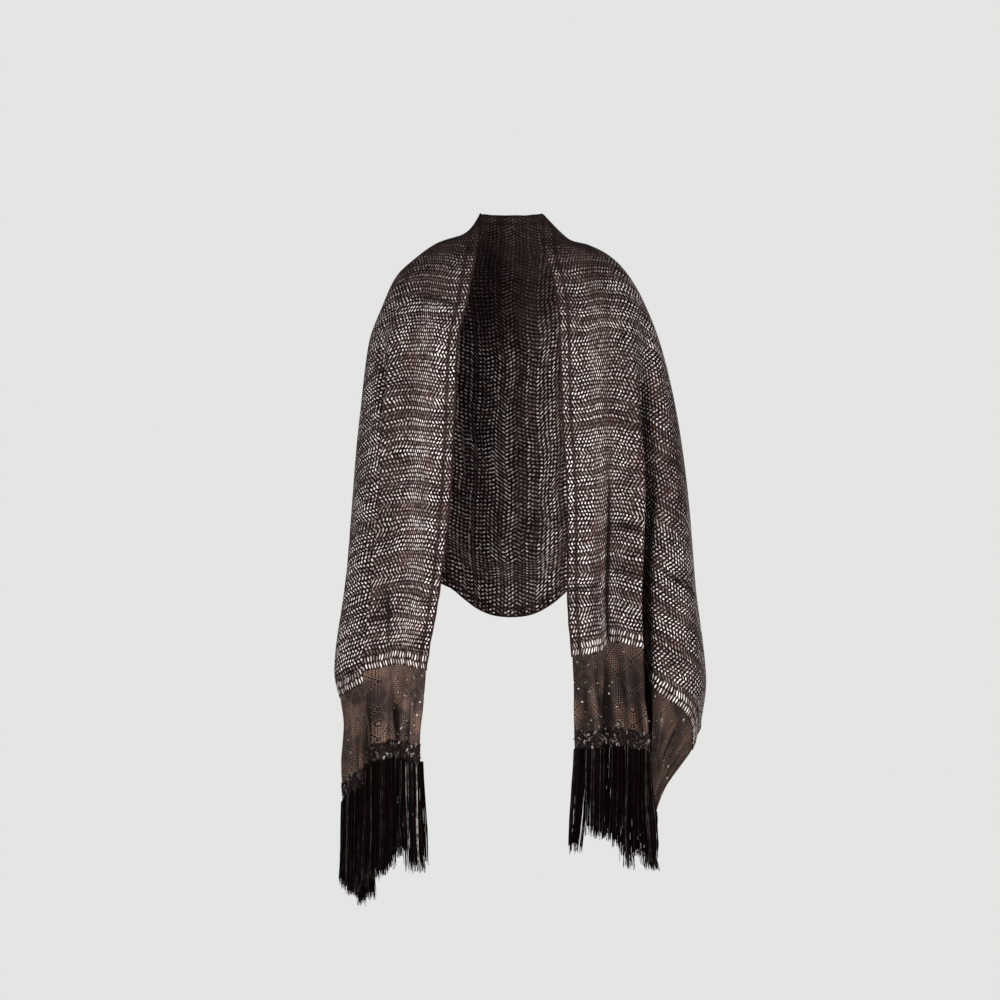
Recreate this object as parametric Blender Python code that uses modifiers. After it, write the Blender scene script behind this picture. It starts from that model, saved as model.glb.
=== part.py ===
"""A rebozo: one long woven shawl worn round the neck and over both shoulders.

The cloth is a rectangle.  Two directions in it are used all through this file:
  along  - metres along the weave from the centre back, 0 to CLOTH_END at each end
  across - metres from the neck edge (0) to the outer edge (CLOTH_WIDTH)
Beyond each end come a lace band, a band of knots and the fringe.
A place round the body is a number, the station:
  0 centre back, 1 to 2 the fan of rays that all leave the shoulder point, 3 the front edge.
Frame: metres, +Z up, -Y to the front, +X to the right side seen from the front.
The origin lies between the shoulders, where the wearer carries the shawl.
"""

import math
from collections import namedtuple

import bmesh
import bpy
import numpy as np

# Driving sizes of the flat cut.
CLOTH_END = {"left": 0.824, "right": 0.803}
CLOTH_WIDTH = 0.645
LACE_LENGTH = 0.134
KNOT_LENGTH = 0.026
STRAND_LENGTHS = (1.00, 0.93, 1.08, 0.97, 1.12, 0.90, 1.04, 1.10, 0.95, 1.01, 1.14, 0.92)
# The fringe of each stretch: its strands, their length, and how far they spread as they fall.
Fringe = namedtuple("Fringe", "strands length spread")
FRINGES = {
    "front_left": Fringe(32, 0.135, 0.02),
    "arm_left": Fringe(42, 0.098, 0.00),
    "front_right": Fringe(32, 0.150, 0.10),
    "arm_right": Fringe(42, 0.082, 0.00),
}

CLOTH_WALL = 0.0020
LACE_WALL = 0.0016
STRAND_WALL = 0.0020
SEAM = 0.0005  # from each cut edge to the line of the seam
HEM_GAP = 0.0014  # between the woven end and the lace, and the lace and the knots

# Where the cloth turns over the shoulder: the run of the neck edge to the side of the neck,
# and the place in the cloth of the shoulder point.
NECK_RUN = 0.090
SHOULDER_ALONG = 0.170
SHOULDER_ACROSS = 0.115
SHOULDER_HEIGHT = -0.020
BIAS_SLACK = 0.045  # the part of its length that the cloth loses where it hangs on the bias

# Level sections of the worn shawl, from the neck down: the depth behind and in front of the
# shoulder line, the half width of each side, and how far out each front edge lies.
Section = namedtuple("Section", "height back front left right left_edge right_edge")
SECTIONS = (
    Section(+0.054, 0.062, 0.012, 0.047, 0.048, 0.0465, 0.0475),
    Section(+0.030, 0.068, 0.036, 0.063, 0.072, 0.047, 0.049),
    Section(+0.020, 0.072, 0.043, 0.076, 0.082, 0.047, 0.049),
    Section(+0.010, 0.076, 0.051, 0.108, 0.096, 0.048, 0.049),
    Section(+0.005, 0.078, 0.054, 0.119, 0.119, 0.049, 0.049),
    Section(-0.015, 0.086, 0.068, 0.147, 0.157, 0.053, 0.052),
    Section(-0.045, 0.098, 0.087, 0.179, 0.185, 0.059, 0.062),
    Section(-0.090, 0.112, 0.107, 0.200, 0.210, 0.067, 0.071),
    Section(-0.150, 0.122, 0.122, 0.221, 0.232, 0.081, 0.075),
    Section(-0.260, 0.127, 0.135, 0.232, 0.254, 0.086, 0.079),
    Section(-0.400, 0.124, 0.140, 0.247, 0.273, 0.093, 0.087),
    Section(-0.540, 0.120, 0.141, 0.262, 0.285, 0.105, 0.087),
    Section(-0.660, 0.120, 0.141, 0.274, 0.294, 0.120, 0.094),
    Section(-0.960, 0.120, 0.140, 0.268, 0.296, 0.128, 0.098),
)
SECTION_POWER = 2.3  # 2 would be an ellipse, more is squarer

# The folds: where each crest or trough stands in plan, out from the middle and back from the
# shoulder line, at three heights.  There are none above FOLD_TOP.
FOLD_TOP, MID, LOW = -0.070, -0.300, -0.660
FOOT = {"left": -0.750, "right": -0.880}
Fold = namedtuple("Fold", "station mid low foot")
FOLDS = {
    "right": (
        Fold(0.00, (0.000, +0.124), (0.000, +0.114), (0.000, +0.114)),
        Fold(0.30, (0.053, +0.130), (0.054, +0.128), (0.054, +0.128)),
        Fold(0.60, (0.106, +0.114), (0.108, +0.104), (0.108, +0.104)),
        Fold(0.86, (0.150, +0.112), (0.148, +0.124), (0.148, +0.124)),
        Fold(1.00, (0.172, +0.100), (0.168, +0.106), (0.168, +0.106)),
        Fold(1.12, (0.182, +0.062), (0.160, +0.048), (0.160, +0.048)),
        Fold(1.24, (0.224, +0.070), (0.236, +0.100), (0.236, +0.100)),
        Fold(1.36, (0.220, +0.024), (0.204, +0.030), (0.204, +0.030)),
        Fold(1.46, (0.261, +0.014), (0.282, +0.072), (0.282, +0.072)),
        Fold(1.549, (0.260, -0.024), (0.296, +0.012), (0.258, -0.010)),
        Fold(1.62, (0.247, -0.056), (0.270, -0.052), (0.222, -0.056)),
        Fold(1.69, (0.224, -0.082), (0.219, -0.100), (0.202, -0.096)),
        Fold(1.795, (0.192, -0.068), (0.168, -0.054), (0.163, -0.057)),
        Fold(1.860, (0.187, -0.080), (0.161, -0.070), (0.160, -0.073)),
        Fold(1.965, (0.2025, -0.118), (0.2035, -0.138), (0.210, -0.138)),
        Fold(2.20, (0.176, -0.128), (0.181, -0.146), (0.188, -0.146)),
        Fold(2.46, (0.145, -0.124), (0.151, -0.124), (0.158, -0.126)),
        Fold(2.72, (0.113, -0.131), (0.126, -0.144), (0.132, -0.144)),
        Fold(3.00, (0.080, -0.131), (0.094, -0.134), (0.100, -0.134)),
    ),
    "left": (
        Fold(0.00, (0.000, +0.124), (0.000, +0.114), (0.000, +0.114)),
        Fold(0.22, (0.038, +0.128), (0.038, +0.127), (0.038, +0.127)),
        Fold(0.45, (0.080, +0.119), (0.078, +0.110), (0.078, +0.110)),
        Fold(0.72, (0.128, +0.114), (0.126, +0.118), (0.126, +0.118)),
        Fold(0.98, (0.168, +0.098), (0.164, +0.112), (0.164, +0.112)),
        Fold(1.10, (0.176, +0.062), (0.152, +0.054), (0.152, +0.054)),
        Fold(1.22, (0.211, +0.074), (0.216, +0.104), (0.216, +0.104)),
        Fold(1.35, (0.206, +0.032), (0.186, +0.036), (0.186, +0.036)),
        Fold(1.46, (0.236, +0.036), (0.244, +0.088), (0.232, +0.084)),
        Fold(1.566, (0.239, +0.002), (0.222, +0.036), (0.186, +0.040)),
        Fold(1.67, (0.237, -0.036), (0.266, -0.022), (0.240, -0.014)),
        Fold(1.752, (0.224, -0.068), (0.269, -0.080), (0.255, -0.074)),
        Fold(1.815, (0.205, -0.092), (0.224, -0.117), (0.222, -0.112)),
        Fold(1.875, (0.186, -0.079), (0.187, -0.068), (0.190, -0.071)),
        Fold(1.920, (0.182, -0.088), (0.183, -0.080), (0.186, -0.083)),
        Fold(1.98, (0.197, -0.114), (0.217, -0.136), (0.214, -0.136)),
        Fold(2.20, (0.176, -0.124), (0.198, -0.143), (0.199, -0.143)),
        Fold(2.50, (0.143, -0.124), (0.174, -0.133), (0.177, -0.131)),
        Fold(2.75, (0.117, -0.132), (0.152, -0.143), (0.156, -0.142)),
        Fold(3.00, (0.087, -0.130), (0.130, -0.133), (0.138, -0.132)),
    ),
}
# The stations of the seams between the stretches, on the flank of a fold.
BACK_SEAM = 1.0
FRONT_SEAM = {"left": 1.952, "right": 1.912}

SIDES = {"left": -1.0, "right": 1.0}


# ---------------------------------------------------------------- smooth tables


def smooth_table(xs, ys):
    """A function through the points that never swings past them (monotone cubic)."""
    xs, ys = np.array(xs, float), np.array(ys, float)
    step = np.diff(xs)
    slope = np.diff(ys) / step
    lean = np.zeros_like(ys)
    both = slope[:-1] * slope[1:] > 0
    lean[1:-1][both] = (2 * slope[:-1] * slope[1:])[both] / (slope[:-1] + slope[1:])[both]
    lean[0], lean[-1] = slope[0], slope[-1]
    return hermite(xs, ys, lean)


def flowing_table(xs, ys):
    """A function through the points that rounds each of them (Catmull-Rom)."""
    xs, ys = np.array(xs, float), np.array(ys, float)
    lean = np.gradient(ys, xs)
    return hermite(xs, ys, lean)


def hermite(xs, ys, lean):
    step = np.diff(xs)

    def at(x):
        x = np.clip(x, xs[0], xs[-1])
        i = np.clip(np.searchsorted(xs, x, side="right") - 1, 0, len(xs) - 2)
        h, t = step[i], (x - xs[i]) / step[i]
        return (
            ys[i] * (1 + 2 * t) * (1 - t) ** 2
            + ys[i + 1] * t * t * (3 - 2 * t)
            + h * lean[i] * t * (1 - t) ** 2
            + h * lean[i + 1] * t * t * (t - 1)
        )

    return at


def section_column(name):
    rows = SECTIONS[::-1]
    return smooth_table([r.height for r in rows], [getattr(r, name) for r in rows])


COLUMN = {name: section_column(name) for name in Section._fields[1:]}


# ---------------------------------------------------------------- the drape


def ridge_across(along):
    """Where the shoulder line crosses the cloth, seen from the back."""
    share = np.clip((along - NECK_RUN) / (SHOULDER_ALONG - NECK_RUN), 0, 1)
    return share * SHOULDER_ACROSS


def ridge_along(across):
    """Where the shoulder line crosses the cloth, seen from the front."""
    share = np.clip(across / SHOULDER_ACROSS, 0, 1)
    return NECK_RUN + share * (SHOULDER_ALONG - NECK_RUN)


def bias_factor(angle):
    return 1 - BIAS_SLACK * np.sin(2 * angle) ** 2


def station_and_down(along, across):
    """The station of a place in the flat cut, and how far down the cloth it lies."""
    along, across = np.broadcast_arrays(np.asarray(along, float), np.asarray(across, float))
    out, over = along - SHOULDER_ALONG, across - SHOULDER_ACROSS
    angle = np.arctan2(np.maximum(over, 0), np.maximum(out, 0))
    in_fan = (out > 0) & (over > 0)
    in_front = ~in_fan & (along > ridge_along(across))
    station = np.where(
        in_fan,
        2 - angle / (math.pi / 2),
        np.where(in_front, 3 - across / SHOULDER_ACROSS, along / SHOULDER_ALONG),
    )
    down = np.where(
        in_fan,
        np.hypot(out, over) * bias_factor(angle),
        np.where(in_front, along - ridge_along(across), across - ridge_across(along)),
    )
    return station, np.maximum(down, 0)


def fan_angle(station):
    """How far a ray of the fan turns from the run of the weave."""
    return np.clip(2 - station, 0, 1) * math.pi / 2


def across_at(station, along):
    """Where the line of a station crosses the cloth, this far along it."""
    in_front = (3 - station) * SHOULDER_ACROSS
    in_fan = SHOULDER_ACROSS + (along - SHOULDER_ALONG) * np.tan(fan_angle(station))
    return np.where(station > 2, in_front, in_fan)


def corner_station(side):
    over, out = CLOTH_WIDTH - SHOULDER_ACROSS, CLOTH_END[side] - SHOULDER_ALONG
    return 2 - math.atan2(over, out) / (math.pi / 2)


def reach_of(station, side):
    """How far down the woven cloth goes along a station's line."""
    angle = fan_angle(station)
    to_end = (CLOTH_END[side] - SHOULDER_ALONG) / np.maximum(np.cos(angle), 1e-6)
    to_side = (CLOTH_WIDTH - SHOULDER_ACROSS) / np.maximum(np.sin(angle), 1e-6)
    fan = np.minimum(to_end, to_side) * bias_factor(angle)
    back = CLOTH_WIDTH - ridge_across(station * SHOULDER_ALONG)
    front = CLOTH_END[side] - ridge_along((3 - station) * SHOULDER_ACROSS)
    return np.where(station < 1, back, np.where(station > 2, front, fan))


class Drape:
    """Where each place of one half of the cloth lies, worked out once as a table."""

    STATIONS = np.linspace(0, 3, 241)
    DOWNS = np.linspace(0, 1.06, 213)
    TOP, BOTTOM = SECTIONS[0].height, -1.06
    ARC_STEPS = 120

    def __init__(self, side):
        self.side, self.sign = side, SIDES[side]
        self.half, self.edge = COLUMN[side], COLUMN[side + "_edge"]
        self.find_ridge()
        self.find_sections()
        self.fill()

    def find_ridge(self):
        """The shoulder line from the side of the neck to the shoulder point."""
        self.ridge_z = np.linspace(self.TOP, SHOULDER_HEIGHT, 120)
        x = self.half(self.ridge_z)
        run = np.concatenate([[0], np.cumsum(np.hypot(np.diff(x), np.diff(self.ridge_z)))])
        self.ridge_share = run / run[-1]

    def section_arc(self, z):
        """Points of a level section from centre back to centre front, and their run."""
        turn = np.linspace(math.pi / 2, -math.pi / 2, 2 * self.ARC_STEPS + 1)
        power = 2 / SECTION_POWER
        depth = np.where(turn > 0, COLUMN["back"](z), COLUMN["front"](z))
        x = self.half(z) * np.abs(np.cos(turn)) ** power
        y = depth * np.sign(np.sin(turn)) * np.abs(np.sin(turn)) ** power
        run = np.concatenate([[0], np.cumsum(np.hypot(np.diff(x), np.diff(y)))])
        return x, y, run

    def edge_run(self, z, x, run):
        half = self.ARC_STEPS
        return np.interp(-self.edge(z), -x[half:], run[half:])

    def station_runs(self, z, x, run):
        """How far round the section the stations 1, 2 and 3 lie at this height."""
        at_side, third = run[self.ARC_STEPS], self.edge_run(z, x, run)
        share = np.interp(-z, -self.ridge_z, self.ridge_share)
        if share < 1:
            reached = NECK_RUN + share * (SHOULDER_ALONG - NECK_RUN)
            return (
                at_side * SHOULDER_ALONG / reached,
                third - (third - at_side) / max(share, 0.02),
                third,
            )
        settle = math.exp((z - SHOULDER_HEIGHT) / 0.06)
        first = SHOULDER_ALONG * (1.03 + settle * (self.back_start - 1.03))
        width = SHOULDER_ACROSS * (1.03 + settle * (self.front_start - 1.03))
        return min(first, at_side), max(third - width, at_side), third

    def find_sections(self):
        x, y, run = self.section_arc(SHOULDER_HEIGHT)
        at_side = run[self.ARC_STEPS]
        self.back_start = at_side / SHOULDER_ALONG
        front = self.edge_run(SHOULDER_HEIGHT, x, run) - at_side
        self.front_start = front / SHOULDER_ACROSS
        over = np.linspace(self.TOP, SHOULDER_HEIGHT - 0.01, 130)
        self.levels = np.concatenate([over, np.linspace(over[-1], self.BOTTOM, 121)[1:]])
        rows = []
        for z in self.levels:
            x, y, run = self.section_arc(z)
            s1, s2, s3 = self.station_runs(z, x, run)
            s = np.interp(self.STATIONS, [0, 1, 2, 3], [0, s1, s2, s3])
            rows.append(np.stack([np.interp(s, run, x), np.interp(s, run, y)], axis=1))
        self.plans = np.array(rows)  # level, station, (x, y)

    def plan_at(self, heights):
        """The plan place of every station at these heights, one row of heights a station."""
        columns = []
        for i in range(len(self.STATIONS)):
            x = np.interp(-heights[i], -self.levels, self.plans[:, i, 0])
            y = np.interp(-heights[i], -self.levels, self.plans[:, i, 1])
            columns.append(np.stack([x, y], axis=1))
        return np.array(columns)

    def fold_shift(self, heights):
        """How far the folds move every station at these heights."""
        rows = FOLDS[self.side]
        stations = [r.station for r in rows]
        count = len(self.STATIONS)
        total = np.zeros((*heights.shape, 2))
        foot_height = FOOT[self.side]
        shifts = []
        for level, name in ((MID, "mid"), (LOW, "low"), (foot_height, "foot")):
            base = self.plan_at(np.full((count, 1), level))[:, 0, :]
            wanted = np.array([getattr(r, name) for r in rows])
            shift = np.stack(
                [flowing_table(stations, wanted[:, k])(self.STATIONS) for k in (0, 1)], axis=1
            )
            shifts.append(shift - base)
        knots = [-self.BOTTOM, -foot_height, -LOW, -MID, -FOLD_TOP, -self.TOP]
        for i in range(count):
            mid, low, foot = shifts[0][i], shifts[1][i], shifts[2][i]
            for k in (0, 1):
                values = [foot[k], foot[k], low[k], mid[k], 0.0, 0.0]
                table = smooth_table(knots[::-1], values[::-1])
                total[i, :, k] = table(-heights[i])
        return total

    def fill(self):
        """The table of points, a row for each station by equal steps down the cloth."""
        along = self.STATIONS * SHOULDER_ALONG
        back = np.clip((along - NECK_RUN) / (SHOULDER_ALONG - NECK_RUN), 0, 1)
        front = np.clip(3 - self.STATIONS, 0, 1)
        share = np.where(self.STATIONS < 1, back, np.where(self.STATIONS > 2, front, 1.0))
        start = np.interp(share, self.ridge_share, self.ridge_z)
        fall = np.linspace(0, 1, 200) ** 1.6
        heights = start[:, None] + (self.BOTTOM - start[:, None]) * fall[None, :]
        plan = self.plan_at(heights)
        flat = np.concatenate([plan, heights[:, :, None]], axis=2)
        steps = np.linalg.norm(np.diff(flat, axis=1), axis=2)
        down = np.concatenate([np.zeros((len(start), 1)), np.cumsum(steps, axis=1)], axis=1)
        folded = flat.copy()
        folded[:, :, :2] += self.fold_shift(heights)
        self.points = np.array(
            [
                [np.interp(self.DOWNS, down[i], folded[i, :, k]) for k in range(3)]
                for i in range(len(start))
            ]
        ).transpose(0, 2, 1)

    def at(self, station, down):
        """The point on a station's line, this far down the cloth from the shoulder line."""
        station, down = np.broadcast_arrays(np.asarray(station, float), np.asarray(down, float))
        a = np.clip(station / 3 * (len(self.STATIONS) - 1), 0, len(self.STATIONS) - 1.001)
        b = np.clip(down / self.DOWNS[-1] * (len(self.DOWNS) - 1), 0, len(self.DOWNS) - 1.001)
        i, j = a.astype(int), b.astype(int)
        s, t = (a - i)[..., None], (b - j)[..., None]
        near = self.points[i, j] * (1 - t) + self.points[i, j + 1] * t
        far = self.points[i + 1, j] * (1 - t) + self.points[i + 1, j + 1] * t
        return (near * (1 - s) + far * s) * np.array([self.sign, 1, 1])

    def cloth(self, along, across):
        """The point of the cloth at this place in the flat cut."""
        return self.at(*station_and_down(along, across))


# ---------------------------------------------------------------- building blocks


def clear_scene():
    for obj in list(bpy.data.objects):
        bpy.data.objects.remove(obj)


def material(name, colour, roughness):
    made = bpy.data.materials.new(name)
    made.use_nodes = True
    shader = made.node_tree.nodes["Principled BSDF"]
    shader.inputs["Base Color"].default_value = (*colour, 1)
    shader.inputs["Roughness"].default_value = roughness
    shader.inputs["Metallic"].default_value = 0.0
    return made


def cloth_wall(name, points, faces, wall, finish, collection):
    """An open surface that a Solidify modifier turns into a wall of cloth."""
    mesh = bpy.data.meshes.new(name)
    mesh.from_pydata([tuple(p) for p in points], [], faces)
    shape = bmesh.new()
    shape.from_mesh(mesh)
    bmesh.ops.remove_doubles(shape, verts=shape.verts, dist=0.0001)
    bmesh.ops.recalc_face_normals(shape, faces=shape.faces)
    shape.to_mesh(mesh)
    shape.free()
    mesh.shade_smooth()
    mesh.materials.append(finish)
    obj = bpy.data.objects.new(name, mesh)
    collection.objects.link(obj)
    solid = obj.modifiers.new("wall", "SOLIDIFY")
    solid.thickness = wall
    solid.offset = 0
    solid.use_even_offset = True
    solid.use_quality_normals = True
    return obj


def grid_faces(columns, rows):
    """Quads of a grid whose points are listed column by column."""
    return [
        (c * rows + r, c * rows + r + 1, (c + 1) * rows + r + 1, (c + 1) * rows + r)
        for c in range(columns - 1)
        for r in range(rows - 1)
    ]


def trim(points, last=False):
    """Moves the first or last column of a grid back from its seam, in its own surface."""
    edge, inner = (-1, -2) if last else (0, 1)
    towards = points[inner] - points[edge]
    size = np.maximum(np.linalg.norm(towards, axis=-1, keepdims=True), 1e-9)
    points[edge] += towards / size * np.minimum(SEAM, size / 2)


def evenly_spaced(points, count):
    """The columns of a grid taken again at even steps along its last row."""
    steps = np.linalg.norm(np.diff(points[:, -1], axis=0), axis=1)
    run = np.concatenate([[0], np.cumsum(steps)])
    even = np.linspace(0, run[-1], count)
    flat = points.reshape(len(points), -1)
    taken = [np.interp(even, run, flat[:, k]) for k in range(flat.shape[1])]
    return np.array(taken).T.reshape(count, *points.shape[1:])


def stations_between(side, first, last, spacing):
    """Stations that keep every crest and trough, about this far apart."""
    marks = [first, *(r.station for r in FOLDS[side] if first < r.station < last), last]
    found = []
    for a, b in zip(marks[:-1], marks[1:]):
        steps = max(2, math.ceil((b - a) / spacing))
        found += list(np.linspace(a, b, steps, endpoint=False))
    return np.array([*found, last])


def ridge_shares(side):
    """Shares of the shoulder line, the same for the stretches before and behind it."""
    found = 3 - stations_between(side, 2, 3, LINE_SPACING[True])
    return found[::-1]


# ---------------------------------------------------------------- the shawl's pieces


LINE_SPACING = {False: 0.045, True: 0.10}  # in stations, over the arm and down the front


def row_shares():
    """Shares of the way down, closer together over the shoulder.

    Neighbouring stretches have the same rows, so that their walls stay apart at the seams.
    """
    return np.linspace(0, 1, 14) ** 1.3


def back_stretch(drapes, finish, collection):
    """The stretch across the back, between the two shoulder points."""
    columns = []
    for side in ("left", "right"):
        nape = stations_between(side, 0, NECK_RUN / SHOULDER_ALONG, 0.14)
        shoulder = NECK_RUN + ridge_shares(side)[1:] * (SHOULDER_ALONG - NECK_RUN)
        stations = np.concatenate([nape, shoulder / SHOULDER_ALONG])
        for station in stations[::-1] if side == "left" else stations[1:]:
            on_ridge = station * SHOULDER_ALONG > NECK_RUN + 1e-9
            top = SEAM if on_ridge else 0.0
            down = top + (reach_of(station, side) - top) * row_shares()
            columns.append(drapes[side].at(station, down))
    points = np.array(columns)
    trim(points)
    trim(points, last=True)
    faces = grid_faces(*points.shape[:2])
    cloth_wall("cloth_back", points.reshape(-1, 3), faces, CLOTH_WALL, finish, collection)


def arm_stretch(side, drape, finish, collection):
    """The stretch over the shoulder and arm: the fan of folds below the shoulder point."""
    corner = corner_station(side)
    stations = np.concatenate(
        [
            stations_between(side, BACK_SEAM, corner, LINE_SPACING[False])[:-1],
            stations_between(side, corner, FRONT_SEAM[side], LINE_SPACING[False]),
        ]
    )
    shares = row_shares()
    points = np.array([drape.at(s, reach_of(s, side) * shares) for s in stations])
    trim(points)
    trim(points, last=True)
    points[:, 0] = drape.at(1.5, 3 * SEAM)
    faces = grid_faces(*points.shape[:2])
    name = "cloth_arm_" + side
    cloth_wall(name, points.reshape(-1, 3), faces, CLOTH_WALL, finish, collection)


def front_stretch(side, drape, finish, collection):
    """The stretch that hangs down the front, from the neck to the lace."""
    before = stations_between(side, FRONT_SEAM[side], 2, LINE_SPACING[True])
    stations = np.concatenate([before, 3 - ridge_shares(side)[::-1][1:]])
    shares = row_shares()
    points = np.array(
        [drape.at(s, SEAM + (reach_of(s, side) - SEAM) * shares) for s in stations]
    )
    trim(points)
    faces = grid_faces(*points.shape[:2])
    name = "cloth_front_" + side
    cloth_wall(name, points.reshape(-1, 3), faces, CLOTH_WALL, finish, collection)


def band_lines(side, first, last):
    """Where the lines of the lace and fringe leave the end of the cloth and where they end.

    Each line follows its fold.  Near the long outer edge the lines turn to run along it.
    """
    first, spacing = max(first, corner_station(side)), LINE_SPACING[last > 2]
    stations = stations_between(side, first, last, spacing)
    start = across_at(stations, CLOTH_END[side])
    end = across_at(stations, CLOTH_END[side] + LACE_LENGTH)
    turn_from = CLOTH_WIDTH - 0.20
    turned = np.clip((start - turn_from) / (CLOTH_WIDTH - turn_from), 0, 1)
    return start, end + (start - end) * turned


def band_points(side, drape, lines, begin, finish):
    """Rows of points across a band, at these distances past the end of the cloth."""
    start, end = lines
    rows = []
    for past in np.linspace(begin, finish, 6 if finish - begin > 0.05 else 2):
        share = past / LACE_LENGTH
        rows.append(drape.cloth(CLOTH_END[side] + past, start + (end - start) * share))
    return np.array(rows).transpose(1, 0, 2)


def lace_band(name, side, drape, span, finish, collection):
    """The openwork band that follows the woven end.  It is left uncut: its eyelets are fine."""
    lines = band_lines(side, *span)
    points = band_points(side, drape, lines, HEM_GAP, LACE_LENGTH)
    if span[0] > BACK_SEAM:
        trim(points)
    if span[1] < 3:
        trim(points, last=True)
    faces = grid_faces(*points.shape[:2])
    cloth_wall(name, points.reshape(-1, 3), faces, LACE_WALL, finish, collection)


def fringe(end, side, drape, span, finish, collection):
    """A band of knots with the strands that hang from it, as one comb."""
    strands, usual_length, spread = FRINGES[end]
    begin = LACE_LENGTH + HEM_GAP
    lines = band_lines(side, *span)
    band = band_points(side, drape, lines, begin, LACE_LENGTH + KNOT_LENGTH)
    if span[0] > BACK_SEAM:
        trim(band)
    if span[1] < 3:
        trim(band, last=True)
    band = evenly_spaced(band, 2 * strands)
    points = list(band.reshape(-1, 3))
    faces = grid_faces(*band.shape[:2])
    centre = band[:, 1].mean(axis=0) * np.array([1, 1, 0])
    for strand in range(strands):
        left, right = 2 * strand, 2 * strand + 1
        length = usual_length * STRAND_LENGTHS[strand % len(STRAND_LENGTHS)]
        middle = (band[left, 1] + band[right, 1]) / 2
        above = (left * 2 + 1, right * 2 + 1)
        for drop, width in ((0.45, 0.92), (1.0, 0.62)):
            first = len(points)
            for root in (band[left, 1], band[right, 1]):
                foot = middle + (root - middle) * width
                foot = foot + (foot - centre) * np.array([spread * drop, 0, 0])
                points.append(foot - np.array([0, 0, drop * length]))
            faces.append((above[0], first, first + 1, above[1]))
            above = (first, first + 1)
    cloth_wall("fringe_" + end, points, faces, STRAND_WALL, finish, collection)


def main():
    clear_scene()
    collection = bpy.data.collections.new("rebozo shawl")
    bpy.context.scene.collection.children.link(collection)
    woven = material("ikat weave", (0.055, 0.042, 0.038), 0.9)
    lace = material("dark lace", (0.040, 0.022, 0.018), 0.85)
    cord = material("fringe yarn", (0.018, 0.012, 0.011), 0.7)
    drapes = {side: Drape(side) for side in SIDES}
    back_stretch(drapes, woven, collection)
    for side, drape in drapes.items():
        arm_stretch(side, drape, woven, collection)
        front_stretch(side, drape, woven, collection)
        spans = {"arm": (BACK_SEAM, FRONT_SEAM[side]), "front": (FRONT_SEAM[side], 3)}
        for part, span in spans.items():
            end = part + "_" + side
            lace_band("lace_" + end, side, drape, span, lace, collection)
            fringe(end, side, drape, span, cord, collection)


main()
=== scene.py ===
# %% [markdown]
# # A rebozo shawl, worn
# A rebozo is one long rectangle of cloth, woven on a loom and worn round the neck and over
# both shoulders. This one is dark brown with pale flecks, which are dyed into the threads
# before they are woven (ikat). Each end has a band of dark lace, a band of tied knots and a
# fringe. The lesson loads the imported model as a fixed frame, and dresses it piece by piece:
# the woven cloth, the lace, the knots and the yarns.

# %% Load the frame
import math
from collections import namedtuple
from types import SimpleNamespace

import bpy
import numpy as np
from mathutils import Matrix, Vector


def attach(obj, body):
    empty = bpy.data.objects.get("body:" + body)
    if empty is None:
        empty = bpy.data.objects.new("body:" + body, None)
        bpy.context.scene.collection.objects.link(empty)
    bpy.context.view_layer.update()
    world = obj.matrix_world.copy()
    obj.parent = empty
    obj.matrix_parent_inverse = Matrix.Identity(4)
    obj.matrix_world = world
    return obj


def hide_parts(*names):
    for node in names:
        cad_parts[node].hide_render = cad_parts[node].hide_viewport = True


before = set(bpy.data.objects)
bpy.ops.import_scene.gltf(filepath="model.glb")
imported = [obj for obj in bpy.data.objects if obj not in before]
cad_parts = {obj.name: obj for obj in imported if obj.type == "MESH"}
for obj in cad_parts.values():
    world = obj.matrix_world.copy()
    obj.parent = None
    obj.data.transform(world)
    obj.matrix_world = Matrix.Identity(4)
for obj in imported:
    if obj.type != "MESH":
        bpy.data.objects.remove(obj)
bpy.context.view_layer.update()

# %% [markdown]
# ## The camera
# It looks straight at the front, level with the middle of the shawl. A long lens from far
# away keeps the near and the far side of the cloth at the same size, as in a pattern drawing.
# The camera comes first, so that every later step can be looked at.

# %% Camera
VIEW_WIDTH = 1.55  # metres of the shawl's plane that fill the picture
CAMERA_DISTANCE = 8.6
MIDDLE = Vector((-0.017, -0.09, -0.395))
SENSOR = 36.0

eye = bpy.data.cameras.new("front camera")
eye.sensor_width = SENSOR
eye.lens = SENSOR * CAMERA_DISTANCE / VIEW_WIDTH
camera = bpy.data.objects.new("front camera", eye)
camera.location = MIDDLE - Vector((0, CAMERA_DISTANCE, 0))
camera.rotation_euler = (math.radians(90), 0, 0)
bpy.context.scene.collection.objects.link(camera)
bpy.context.scene.camera = camera
print("lens", round(eye.lens), "mm")

# %% [markdown]
# ## How the cloth hangs
# A simulation could drop a flat cloth on a body, but its folds fall where they like. Here the
# folds have to fall in known places, so the drape is a rule instead. Level sections give the
# outline of the worn shawl at each height. A number, the station, says how far round a place
# lies: 0 is the centre back, 1 to 2 is the fan over the arm, and 3 is the front edge.

# %% Sizes of the flat cut and the level sections
CLOTH_END = {"left": 0.824, "right": 0.803}
CLOTH_WIDTH = 0.645
NECK_RUN = 0.090
SHOULDER_ALONG = 0.170
SHOULDER_ACROSS = 0.115
SHOULDER_HEIGHT = -0.020
BIAS_SLACK = 0.045  # the part of its length that the cloth loses where it hangs on the bias
SECTION_POWER = 2.3  # 2 would be an ellipse, more is squarer


def rows_of(names, *rows):
    """A table whose columns have names."""
    kind = namedtuple("Row", names)
    return [kind(*row) for row in rows]


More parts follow.
